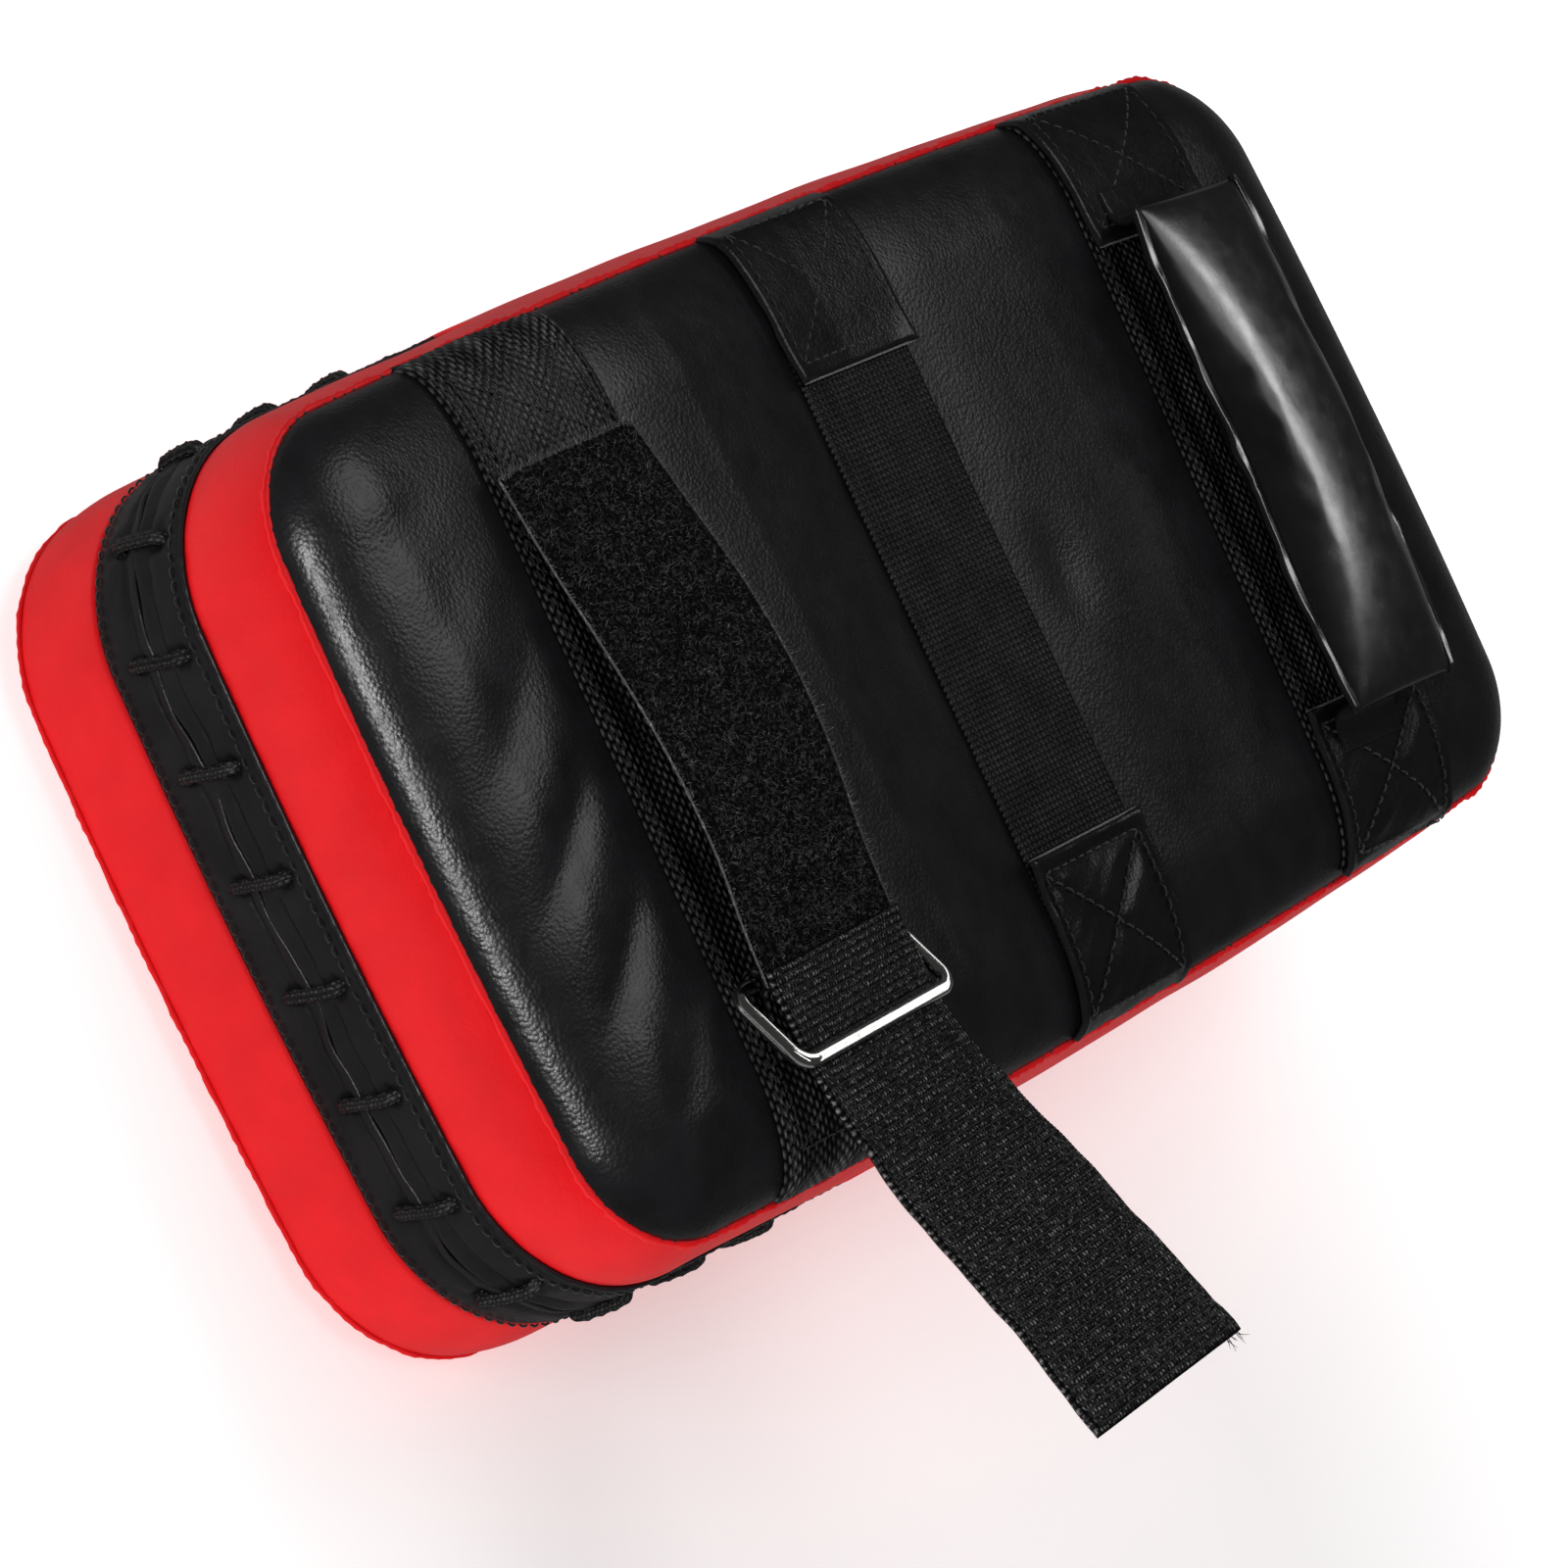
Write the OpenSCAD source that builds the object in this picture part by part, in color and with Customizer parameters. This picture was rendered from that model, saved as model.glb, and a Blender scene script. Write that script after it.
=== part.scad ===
// Curved-sided kick pad (thai pad) for kicking and elbow drills.
// Frame: origin at the centre of the strike face's resting plane, +Z towards the arm side,
// +Y towards the grip end, -Y towards the laced end. Millimetres.

/* [Pad body] */
// Width of the pad between its long sides, before they bow out
pad_w = 190; // [170:1:220]
// Length of the pad between its short ends, before they bow out
pad_l = 364.4; // [340:1:420]
// How far each long side bows out at its middle
side_bow = 4.4; // [0:0.2:8]
// How far each short end bows out at its middle
end_bow = 3.8; // [0:0.2:8]
// Corner radius of the pad's outline
corner_r = 34; // [28:1:45]
// Corner radius of the outline at the arm-side seam
back_corner_r = 25; // [18:1:32]
// How far the arm-side seam sits inside the pad's outline
back_inset = 3.8; // [2:0.2:8]
// Thickness of the covering leather
skin = 1.2; // [0.8:0.1:1.6]

/* [Heights] */
// Height of the strike-side seam
front_seam_z = 7; // [5:0.5:12]
// Height where the lower red band meets the lace band
lace_low_z = 31.6; // [28:0.5:36]
// Height of the slit between the lace strips
slit_z = 45.7; // [43:0.5:48]
// Height where the lace band meets the upper red band
lace_high_z = 59.8; // [56:0.5:64]
// Height of the arm-side seam
back_seam_z = 84; // [80:0.5:90]
// Rise of the crowned arm-side panel above its seam
back_crown = 11; // [8:0.5:13]

/* [Lacing] */
// Distance between neighbouring lace bars along the band
lace_pitch = 24.6; // [22:0.2:26]
// Number of lace bars from the middle of the end to one long side
bars_each_side = 7; // [3:1:7]
// Thickness of the cord
cord_d = 3; // [2:0.2:3.2]

/* [Webbing] */
// Width of the webbing straps
web_w = 46; // [38:1:48]
// Width of the elastic band
band_w = 40; // [30:1:44]
// Height of the strap's arch above a straight line
arch_rise = 8; // [4:0.5:12]
// Length of the free hook tail
tail_run = 93; // [60:1:110]

/* [Grip] */
// Length of the grip roll
grip_l = 124; // [110:1:130]
// Flattened width of the grip roll
grip_w = 44; // [36:1:46]
// Thickness of the grip roll
grip_t = 18; // [14:1:18]

/* [Hidden] */
$fn = 48;
eps = 0.01;
big = 600;
// Clearance between pieces that lie against each other
clear = 0.3;

// Colours
black_leather = [0.06, 0.06, 0.065];
red_leather = [0.86, 0.07, 0.10];
black_web = [0.10, 0.10, 0.11];
foam_grey = [0.32, 0.33, 0.35];
nickel = [0.82, 0.83, 0.85];

// Pad outline
half_w = pad_w / 2;
half_l = pad_l / 2;
corner_steps = 8;
long_steps = 10;
short_steps = 6;

// Foam core
least_corner_r = 4;
foam_gap = 6;
foam_split_low_z = 28;
foam_split_high_z = 56;
strike_roll = 30;
back_roll = 38;
lining_gap = 2.4;

// Lace band ends on both long sides at this place along the pad
lace_end_y = -80;
strip_t = 1.6;
slit_gap = 1.0;
lace_hole_low_z = 40;
lace_hole_high_z = 53;
lace_hole_d = cord_d + 1;
lace_lean = 2.5;
tongue_inset = 5.35;
tongue_t = 0.6;
tongue_half_h = 14;
cord_out = cord_d / 2 + clear;
cord_in = strip_t + cord_d / 2 + clear;
hole_reach = 6;
cord_sides = 8;
inside_steps = 3;

// Rows of webbing across the arm side: place along the pad, and slant in degrees
strap_y = -106.5;
strap_slant = -1.7;
band_y = 1.5;
band_slant = -0.9;
handle_y = 116;
handle_slant = -2.9;

// Layers that lie on the crowned panel, as gap above it and thickness
ply_gap = 0.2;
web_t = 1.6;
band_t = 1.2;
patch_t = 1.4;
ply_angles = [10, 25, 40, 58, 90];
slant_room = 1.4;
seam_reach = 2;
seam_end_x = half_w + seam_reach;

// Adjustable strap, its ring and the loop that anchors the ring
crown_z = back_seam_z + back_crown;
web_top_z = crown_z + ply_gap + web_t;
wire_r = 1.7;
loop_t = 1.2;
loop_r = wire_r + clear + loop_t;
loop_w = 40;
loop_end_x = 62;
anchor_x = 51.5;
anchor_z = web_top_z + ply_gap + loop_r;
free_bar_x = 70;
ring_rise = 9.3;
free_bar_z = anchor_z + ring_rise;
ring_y = -106;
ring_slack = 7.4;
ring_len = web_w + ring_slack;
ring_bend_r = 4;
ring_run = sqrt(pow(free_bar_x - anchor_x, 2) + pow(free_bar_z - anchor_z, 2));
ring_tilt = atan2(free_bar_z - anchor_z, free_bar_x - anchor_x);
run_y = -105;
strap_t = 2;
strap_start_x = -64;
strap_start_z = web_top_z + clear + strap_t / 2;
over_loop_z = anchor_z + loop_r + clear + strap_t / 2;
under_bar_z = free_bar_z - wire_r - 2 * clear - strap_t / 2;
arch_steps = 14;
lap_x = anchor_x;
tail_slope = 0.13;
tail_curl = 0.0015;
tail_steps = 8;
tail_veer = 5;
root_gap = 2.6;
tail_gap = 4;

// Patches
band_patch_w = 44;
band_patch_end_x = 57;
handle_patch_w = 47;
handle_patch_end_x = 58;
elastic_end_x = 76;

// Grip
grip_rise = 14.5;
grip_z = crown_z + grip_rise;
grip_skin = 1.2;
grip_web_w = 30;
grip_stub_w = 6;
grip_web_t = 2;
grip_clear = 0.2;
grip_stub_gap = 1.6;
grip_stub_z = crown_z + 2 * ply_gap + web_t + patch_t + grip_stub_gap;
grip_stub_reach = 4;
grip_stub_x = grip_l / 2 + grip_stub_reach;

function unit(v) = v / norm(v);

// Rounded rectangle with the given half sizes; every call returns the same number of points
function side_points(from, to, steps) = [for (k = [1:steps - 1]) from + (to - from) * k / steps];
function corner_points(centre, r, start) =
    [for (k = [0:corner_steps]) centre + r * [cos(start + 90 * k / corner_steps),
                                              sin(start + 90 * k / corner_steps)]];
function rounded(hw, hl, r) = concat(
    corner_points([hw - r, hl - r], r, 0),
    side_points([hw - r, hl], [r - hw, hl], short_steps),
    corner_points([r - hw, hl - r], r, 90),
    side_points([-hw, hl - r], [-hw, r - hl], long_steps),
    corner_points([r - hw, r - hl], r, 180),
    side_points([r - hw, -hl], [hw - r, -hl], short_steps),
    corner_points([hw - r, r - hl], r, 270),
    side_points([hw, r - hl], [hw, hl - r], long_steps)
);

// The sides of the pad swell outwards between its corners
function bowed(p) = [
    p.x + side_bow * p.x / half_w * (1 - pow(p.y / half_l, 2)),
    p.y + end_bow * p.y / half_l * (1 - pow(p.x / half_w, 2))
];
function outline(inset, r = corner_r) =
    [for (p = rounded(half_w - inset, half_l - inset, max(r - inset, least_corner_r))) bowed(p)];
function level(inset, z, r = corner_r) = [for (p = outline(inset, r)) [p.x, p.y, z]];

// Solid through a stack of closed levels with equal numbers of points, lowest level first
module loft(levels) {
    n = len(levels[0]);
    m = len(levels);
    points = [for (ring = levels) each ring];
    walls = [for (j = [0:m - 2]) for (k = [0:n - 1]) let (a = j * n + k, b = j * n + (k + 1) % n)
        each [[a, b + n, b], [a, a + n, b + n]]];
    floor_face = [[for (k = [0:n - 1]) k]];
    top_face = [[for (k = [n - 1:-1:0]) (m - 1) * n + k]];
    polyhedron(points, concat(floor_face, walls, top_face));
}

// Levels of the rolled edges; under is how far below the leather's outside they run
crown_angles = [0, 12, 25, 40, 58, 90];
function back_levels(under) = [for (a = crown_angles)
    level(back_inset + under + (back_roll - under) * (1 - cos(a)),
          back_seam_z + (back_crown - under) * sin(a), back_corner_r + back_inset)];
function strike_levels(under) = [for (k = [len(crown_angles) - 1:-1:0]) let (a = crown_angles[k])
    level(under + (strike_roll - under) * (1 - cos(a)),
          front_seam_z - (front_seam_z - under) * sin(a))];

module near_part() {
    intersection() {
        children();
        translate([-big / 2, lace_end_y - big, -big / 2]) cube(big);
    }
}

module far_part() {
    intersection() {
        children();
        translate([-big / 2, lace_end_y, -big / 2]) cube(big);
    }
}

// Straight wall of the pad between two heights
module wall(low, high, inset, thick) {
    translate([0, 0, low]) linear_extrude(high - low) difference() {
        polygon(outline(inset));
        polygon(outline(inset + thick));
    }
}

// Wall between the lace band and the arm-side seam, leaning in towards the seam
module leaning_wall() {
    difference() {
        loft([level(0, lace_high_z),
              level(back_inset, back_seam_z, back_corner_r + back_inset)]);
        loft([level(skin, lace_high_z - eps),
              level(back_inset + skin, back_seam_z + eps, back_corner_r + back_inset)]);
    }
}

module foam_front() {
    color(foam_grey) loft(concat(
        [for (k = [len(crown_angles) - 1:-1:0]) let (a = crown_angles[k], u = skin + lining_gap)
            level(foam_gap + (strike_roll - foam_gap) * (1 - cos(a)),
                  front_seam_z - (front_seam_z - u) * sin(a))],
        [level(foam_gap, foam_split_low_z)]));
}

module foam_middle() {
    color(foam_grey) translate([0, 0, foam_split_low_z])
        linear_extrude(foam_split_high_z - foam_split_low_z) polygon(outline(foam_gap));
}

module foam_back() {
    color(foam_grey) loft(concat(
        [level(foam_gap, foam_split_high_z), level(foam_gap, lace_high_z)],
        back_levels(skin + lining_gap)));
}

module strike_panel() {
    color(red_leather) difference() {
        loft(strike_levels(0));
        loft(concat(strike_levels(skin), [level(skin, front_seam_z + eps)]));
    }
}

module back_panel() {
    color(black_leather) difference() {
        loft(back_levels(0));
        loft(concat([level(back_inset + skin, back_seam_z - eps, back_corner_r + back_inset)],
                    back_levels(skin)));
    }
}

module side_band_front() {
    color(red_leather) near_part() wall(front_seam_z, lace_low_z, 0, skin);
}

module side_band_back() {
    color(red_leather) near_part() leaning_wall();
}

module side_band_far() {
    color(red_leather) far_part() {
        wall(front_seam_z, lace_high_z, 0, skin);
        leaning_wall();
    }
}

// Place on the outline at a distance along it from the middle of the laced end
end_run = half_w - corner_r;
bend_run = corner_r * PI / 2;
function flat_place(s) =
    abs(s) <= end_run ? [s, -half_l] :
    abs(s) <= end_run + bend_run ?
        [sign(s) * (end_run + corner_r * sin(turn(s))), -half_l + corner_r * (1 - cos(turn(s)))] :
        [sign(s) * half_w, -half_l + corner_r + abs(s) - end_run - bend_run];
function turn(s) = min(max((abs(s) - end_run) / bend_run * 90, 0), 90);
function lace_place(s, inset) = let (
    here = bowed(flat_place(s)),
    along = unit(bowed(flat_place(s + 1)) - bowed(flat_place(s - 1)))
) here + inset * [-along.y, along.x];

bars = [for (k = [-bars_each_side:bars_each_side - 1]) (k + 0.5) * lace_pitch];
function lean(s) = s + lace_lean;

module lace_holes(z, leaning) {
    for (s = bars) {
        run = leaning ? lean(s) : s;
        inner = lace_place(run, hole_reach);
        outer = lace_place(run, -hole_reach);
        heading = atan2(outer.y - inner.y, outer.x - inner.x);
        translate([inner.x, inner.y, z]) rotate([0, 90, heading])
            cylinder(h = 2 * hole_reach, d = lace_hole_d);
    }
}

module lace_strip_front() {
    color(black_leather) difference() {
        near_part() wall(lace_low_z, slit_z - slit_gap / 2, 0, strip_t);
        lace_holes(lace_hole_low_z, false);
    }
}

module lace_strip_back() {
    color(black_leather) difference() {
        near_part() wall(slit_z + slit_gap / 2, lace_high_z, 0, strip_t);
        lace_holes(lace_hole_high_z, true);
    }
}

module lace_tongue() {
    color(black_web) near_part()
        wall(slit_z - tongue_half_h, slit_z + tongue_half_h, tongue_inset, tongue_t);
}

// The cord runs outside from a low hole up to a high hole, then inside to the next low hole
function lace_point(s, inset, z) = let (p = lace_place(s, inset)) [p.x, p.y, z];
function inside_point(s, share) = lace_point(
    lean(s) + (s + lace_pitch - lean(s)) * share, cord_in,
    lace_hole_high_z + (lace_hole_low_z - lace_hole_high_z) * share);
cord_path = [for (s = bars) each concat(
    [lace_point(s, cord_in, lace_hole_low_z),
     lace_point(s, -cord_out, lace_hole_low_z),
     lace_point(lean(s), -cord_out, lace_hole_high_z),
     lace_point(lean(s), cord_in, lace_hole_high_z)],
    [for (k = [1:inside_steps - 1]) inside_point(s, k / inside_steps)]
)];

function bisector(path, i) =
    i == 0 ? unit(path[1] - path[0]) :
    i == len(path) - 1 ? unit(path[i] - path[i - 1]) :
    unit(unit(path[i + 1] - path[i]) + unit(path[i] - path[i - 1]));
function carried(u, t) = unit(u - (u * t) * t);
function frames(path, i, u) = let (v = carried(u, bisector(path, i)))
    i == len(path) - 1 ? [v] : concat([v], frames(path, i + 1, v));

module cord(path, r) {
    sideways = frames(path, 0, [0, 0, 1]);
    loft([for (i = [0:len(path) - 1]) let (t = bisector(path, i), u = sideways[i], v = cross(t, u))
        [for (k = [0:cord_sides - 1]) path[i] + r * (cos(360 * k / cord_sides) * u
                                                   + sin(360 * k / cord_sides) * v)]]);
}

module lace_cord() {
    color(black_web) cord(cord_path, cord_d / 2);
}

// Layer that follows the crowned arm side from seam to seam, seen along the pad
function seam_half(y) = half_w - back_inset + slant_room + side_bow * (1 - pow(y / half_l, 2));
function ply_side(hw, gap) = [for (a = ply_angles)
    [hw - back_roll + (back_roll + gap) * cos(a), back_seam_z + (back_crown + gap) * sin(a)]];
function reversed(points) = [for (k = [len(points) - 1:-1:0]) points[k]];
function seam_to_seam(hw, gap) = let (side = ply_side(hw, gap))
    concat(side, [for (p = reversed(side)) [-p.x, p.y]]);

// Stands a drawing of x and z upright, centred on y
module across(y, width) {
    translate([0, y + width / 2, 0]) rotate([90, 0, 0]) linear_extrude(width) children();
}

module slanted(y, slant) {
    translate([0, y, 0]) rotate([0, 0, slant]) translate([0, -y, 0]) children();
}

module ply(y, width, gap, thick, from_x, to_x) {
    hw = seam_half(abs(y) - width / 2);
    across(y, width) intersection() {
        polygon(concat(seam_to_seam(hw, gap), reversed(seam_to_seam(hw, gap + thick))));
        translate([from_x, 0]) square([to_x - from_x, big]);
    }
}

module strap_base_web() {
    color(black_web) slanted(strap_y, strap_slant)
        ply(strap_y, web_w, ply_gap, web_t, -seam_end_x, seam_end_x);
}

// Webbing folded round the ring's anchored bar and sewn down towards the right seam
module ring_anchor_loop() {
    color(black_web) across(ring_y, loop_w) difference() {
        union() {
            translate([anchor_x, anchor_z]) circle(loop_r);
            translate([anchor_x, anchor_z - loop_r]) square([loop_end_x - anchor_x, loop_t]);
        }
        translate([anchor_x, anchor_z]) circle(wire_r + clear);
    }
}

// Rounded rectangle of wire, lying on its anchored bar and tilted up
module ring_bend() {
    rotate_extrude(angle = 90) translate([ring_bend_r, 0]) circle(wire_r);
}

module ring_corner(x, y, start) {
    translate([x, y, 0]) rotate([0, 0, start]) ring_bend();
}

module strap_ring() {
    straight_y = ring_len / 2 - ring_bend_r;
    color(nickel) translate([anchor_x, ring_y, anchor_z]) rotate([0, -ring_tilt, 0]) {
        for (x = [0, ring_run])
            translate([x, straight_y, 0]) rotate([90, 0, 0]) cylinder(h = 2 * straight_y, r = wire_r);
        for (y = [-ring_len / 2, ring_len / 2])
            translate([ring_bend_r, y, 0]) rotate([0, 90, 0])
                cylinder(h = ring_run - 2 * ring_bend_r, r = wire_r);
        ring_corner(ring_run - ring_bend_r, straight_y, 0);
        ring_corner(ring_bend_r, straight_y, 90);
        ring_corner(ring_bend_r, -straight_y, 180);
        ring_corner(ring_run - ring_bend_r, -straight_y, 270);
    }
}

// Outline of a bent strip of even thickness along a path
function path_normal(path, i) = let (
    along = unit(path[min(i + 1, len(path) - 1)] - path[max(i - 1, 0)])
) [-along.y, along.x];
function strip(path, thick) = concat(
    [for (i = [0:len(path) - 1]) path[i] - thick / 2 * path_normal(path, i)],
    [for (i = [len(path) - 1:-1:0]) path[i] + thick / 2 * path_normal(path, i)]
);

function arch_z(x) = let (u = (x - strap_start_x) / (lap_x - strap_start_x))
    strap_start_z + (over_loop_z - strap_start_z) * u + arch_rise * sin(180 * u);
arch_path = [for (k = [0:arch_steps]) let (
    x = strap_start_x + (lap_x - strap_start_x) * k / arch_steps
) [x, arch_z(x)]];

module loop_strap() {
    color(black_web) across(run_y, web_w) polygon(strip(arch_path, strap_t));
}

// The hook webbing between the two bars of the ring
module hook_strap_root() {
    color(black_web) across(run_y, web_w)
        polygon(strip([[lap_x + clear, over_loop_z], [free_bar_x - root_gap, under_bar_z]], strap_t));
}

tail_path = [for (k = [0:tail_steps]) let (d = tail_gap + (tail_run - tail_gap) * k / tail_steps)
    [free_bar_x + d, under_bar_z + tail_slope * d + tail_curl * d * d]];

module hook_strap_tail() {
    color(black_web) translate([free_bar_x, run_y, 0]) rotate([0, 0, tail_veer])
        translate([-free_bar_x, -run_y, 0])
        across(run_y, web_w) polygon(strip(tail_path, strap_t));
}

module elastic_band() {
    color(black_web) slanted(band_y, band_slant)
        ply(band_y, band_w, ply_gap, band_t, -elastic_end_x, elastic_end_x);
}

module band_patch(from_x, to_x) {
    color(black_leather) slanted(band_y, band_slant)
        ply(band_y, band_patch_w, 2 * ply_gap + band_t, patch_t, from_x, to_x);
}

module band_patch_left() {
    band_patch(-seam_end_x, -band_patch_end_x);
}

module band_patch_right() {
    band_patch(band_patch_end_x, seam_end_x);
}

module handle_base_web() {
    color(black_web) slanted(handle_y, handle_slant)
        ply(handle_y, web_w, ply_gap, web_t, -seam_end_x, seam_end_x);
}

module handle_patch(from_x, to_x) {
    color(black_leather) slanted(handle_y, handle_slant)
        ply(handle_y, handle_patch_w, 2 * ply_gap + web_t, patch_t, from_x, to_x);
}

module handle_patch_left() {
    handle_patch(-seam_end_x, -handle_patch_end_x);
}

module handle_patch_right() {
    handle_patch(handle_patch_end_x, seam_end_x);
}

// Lens-shaped section of the grip: two arcs that meet at sewn edges
module lens(width, thick) {
    r = (pow(width / 2, 2) + pow(thick / 2, 2)) / thick;
    intersection() {
        translate([0, r - thick / 2]) circle(r);
        translate([0, thick / 2 - r]) circle(r);
    }
}

module grip_roll(length, width, thick) {
    translate([-length / 2, handle_y, grip_z]) rotate([90, 0, 90])
        linear_extrude(length) lens(width, thick);
}

module grip_slot(clear) {
    translate([-grip_l, handle_y - grip_web_w / 2 - clear, grip_z - grip_web_t / 2 - clear])
        cube([2 * grip_l, grip_web_w + 2 * clear, grip_web_t + 2 * clear]);
}

module handle_cover() {
    color(black_leather) slanted(handle_y, handle_slant) difference() {
        grip_roll(grip_l, grip_w, grip_t);
        grip_roll(grip_l - 2 * grip_skin, grip_w - 4 * grip_skin, grip_t - 2 * grip_skin);
        grip_slot(grip_clear);
    }
}

module handle_foam() {
    inner = grip_skin + grip_clear;
    color(foam_grey) slanted(handle_y, handle_slant) difference() {
        grip_roll(grip_l - 2 * inner, grip_w - 4 * inner, grip_t - 2 * inner);
        grip_slot(grip_clear);
    }
}

// Webbing through the grip, narrowing to the two places where it is sewn down
module handle_web() {
    color(black_web) slanted(handle_y, handle_slant) {
        translate([-grip_stub_x, handle_y - grip_web_w / 2, grip_z - grip_web_t / 2])
            cube([2 * grip_stub_x, grip_web_w, grip_web_t]);
        for (side = [-1, 1])
            translate([side * (grip_stub_x - grip_web_t / 2), handle_y, 0])
                translate([-grip_web_t / 2, -grip_stub_w / 2, grip_stub_z])
                cube([grip_web_t, grip_stub_w, grip_z - grip_stub_z]);
    }
}

foam_front();
foam_middle();
foam_back();
strike_panel();
back_panel();
side_band_front();
side_band_back();
side_band_far();
lace_strip_front();
lace_strip_back();
lace_tongue();
lace_cord();
strap_base_web();
ring_anchor_loop();
strap_ring();
loop_strap();
hook_strap_root();
hook_strap_tail();
elastic_band();
band_patch_left();
band_patch_right();
handle_base_web();
handle_patch_left();
handle_patch_right();
handle_cover();
handle_foam();
handle_web();
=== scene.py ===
"""Looks of a curved-sided kick pad: leather, webbing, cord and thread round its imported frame."""
import math
from itertools import combinations

import bpy
import numpy as np
from mathutils import Matrix, Vector


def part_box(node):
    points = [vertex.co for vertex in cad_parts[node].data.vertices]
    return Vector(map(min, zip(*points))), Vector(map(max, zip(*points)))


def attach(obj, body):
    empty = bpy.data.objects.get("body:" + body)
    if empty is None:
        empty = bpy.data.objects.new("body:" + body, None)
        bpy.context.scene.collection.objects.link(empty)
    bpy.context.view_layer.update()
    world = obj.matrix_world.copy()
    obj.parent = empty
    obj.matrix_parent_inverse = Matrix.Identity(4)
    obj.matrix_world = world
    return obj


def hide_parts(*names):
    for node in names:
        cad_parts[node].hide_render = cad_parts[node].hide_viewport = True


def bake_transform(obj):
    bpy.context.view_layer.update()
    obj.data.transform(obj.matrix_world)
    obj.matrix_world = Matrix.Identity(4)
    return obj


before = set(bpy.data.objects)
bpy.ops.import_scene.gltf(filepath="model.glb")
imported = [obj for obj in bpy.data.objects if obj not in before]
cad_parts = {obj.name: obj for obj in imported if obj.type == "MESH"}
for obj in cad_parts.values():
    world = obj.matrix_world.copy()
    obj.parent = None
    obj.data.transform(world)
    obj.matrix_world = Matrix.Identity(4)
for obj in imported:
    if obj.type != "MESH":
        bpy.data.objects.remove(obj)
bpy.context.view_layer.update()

rng = np.random.default_rng(11)

# Shapes are worked out in millimetres and scaled when a mesh is made.
MM = 0.001


def box_mm(node):
    """Lowest and highest corner of a CAD node, in millimetres."""
    lo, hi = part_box(node)
    return np.array(lo) / MM, np.array(hi) / MM


# ---------------- sizes from the frame

# How far the sides and the ends bow out, corners of the outline and of the arm-side seam
SIDE_BOW = 4.4
END_BOW = 3.8
CORNER_R = 34.0
SEAM_CORNER_R = 25.0
SEAM_INSET = 3.8
# Width of the rounded edge on the arm side and on the strike side
CROWN_ROLL = 25.0
STRIKE_ROLL = 30.0
SKIN = 1.2
RIM_STEP = 1.5
# Beads of the coarse webbing and rows of hooks: pitch across and along the tape
WEAVE_PITCH = (1.3, 2.4)
HOOK_PITCH = (0.9, 1.8)

# Half the outline before it bows, heights of the seams, and where the lacing ends
HALF_W, HALF_L, _ = box_mm("strike_panel")[1] - [SIDE_BOW, END_BOW, 0]
(_, _, FRONT_SEAM_Z), (_, LACE_END_Y, LACE_LOW_Z) = box_mm("side_band_front")
LACE_HIGH_Z = box_mm("side_band_back")[0][2]
BACK_SEAM_Z = box_mm("back_panel")[0][2]
CROWN = box_mm("back_panel")[1][2] - BACK_SEAM_Z
SLIT_Z = (box_mm("lace_strip_front")[1][2] + box_mm("lace_strip_back")[0][2]) / 2

# Rows of webbing across the arm side: place along the pad, and slant in degrees
STRAP_ROW = (-106.5, -1.7)
BAND_ROW = (1.5, -0.9)
HANDLE_ROW = (116.0, -2.9)
WEB_W = 46.0
BAND_W = 40.0
PLY_GAP = 0.2
WEB_T = 1.6
BAND_T = 1.2
PATCH_T = 1.4

# Lacing: bars of cord along the slit, how far each one leans, and its two rows of holes
LACE_PITCH = 24.6
BARS_EACH_SIDE = 7
LACE_LEAN = 2.5
HOLE_LOW_Z = 40.0
HOLE_HIGH_Z = 53.0


# ---------------- meshes

def unit(vectors):
    """Vectors of length 1 along the last axis."""
    length = np.linalg.norm(vectors, axis=-1, keepdims=True)
    return vectors / np.maximum(length, 1e-9)


def new_mesh(name, points, faces, uvs=None):
    """Links a new smooth mesh object; points are in millimetres, uvs are per point in millimetres."""
    mesh = bpy.data.meshes.new(name)
    mesh.from_pydata((np.asarray(points) * MM).tolist(), [], faces)
    if uvs is not None:
        layer = mesh.uv_layers.new(name="length")
        corner = np.zeros(len(mesh.loops), np.int32)
        mesh.loops.foreach_get("vertex_index", corner)
        layer.data.foreach_set("uv", np.asarray(uvs, np.float32)[corner].ravel())
    mesh.polygons.foreach_set("use_smooth", [True] * len(mesh.polygons))
    mesh.update()
    piece = bpy.data.objects.new(name, mesh)
    bpy.context.scene.collection.objects.link(piece)
    return piece


def grid_faces(rows, columns, base=0, flip=False):
    """Quads of a grid of points stored row by row."""
    corner = base + np.arange(rows * columns).reshape(rows, columns)
    quads = np.stack([corner[:-1, :-1], corner[1:, :-1], corner[1:, 1:], corner[:-1, 1:]], axis=-1)
    quads = quads.reshape(-1, 4)
    return quads[:, ::-1] if flip else quads


def slab(name, top, bottom, uv=None):
    """Closed solid between two grids of points."""
    rows, columns = top.shape[:2]
    count = rows * columns
    faces = [grid_faces(rows, columns), grid_faces(rows, columns, count, flip=True)]
    index = np.arange(count).reshape(rows, columns)
    for rim_line in (index[:, 0], index[::-1, -1], index[-1, :], index[0, ::-1]):
        a, b = rim_line[:-1], rim_line[1:]
        faces.append(np.stack([b, a, a + count, b + count], axis=-1))
    points = np.concatenate([top.reshape(-1, 3), bottom.reshape(-1, 3)])
    uvs = None if uv is None else np.concatenate([uv.reshape(-1, 2)] * 2)
    return new_mesh(name, points, np.concatenate(faces).tolist(), uvs)


def uv_grid(along, across):
    """Lengths (across, along) of a grid of points [along, across]."""
    return np.stack(np.meshgrid(along, across, indexing="ij")[::-1], axis=-1)


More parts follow.
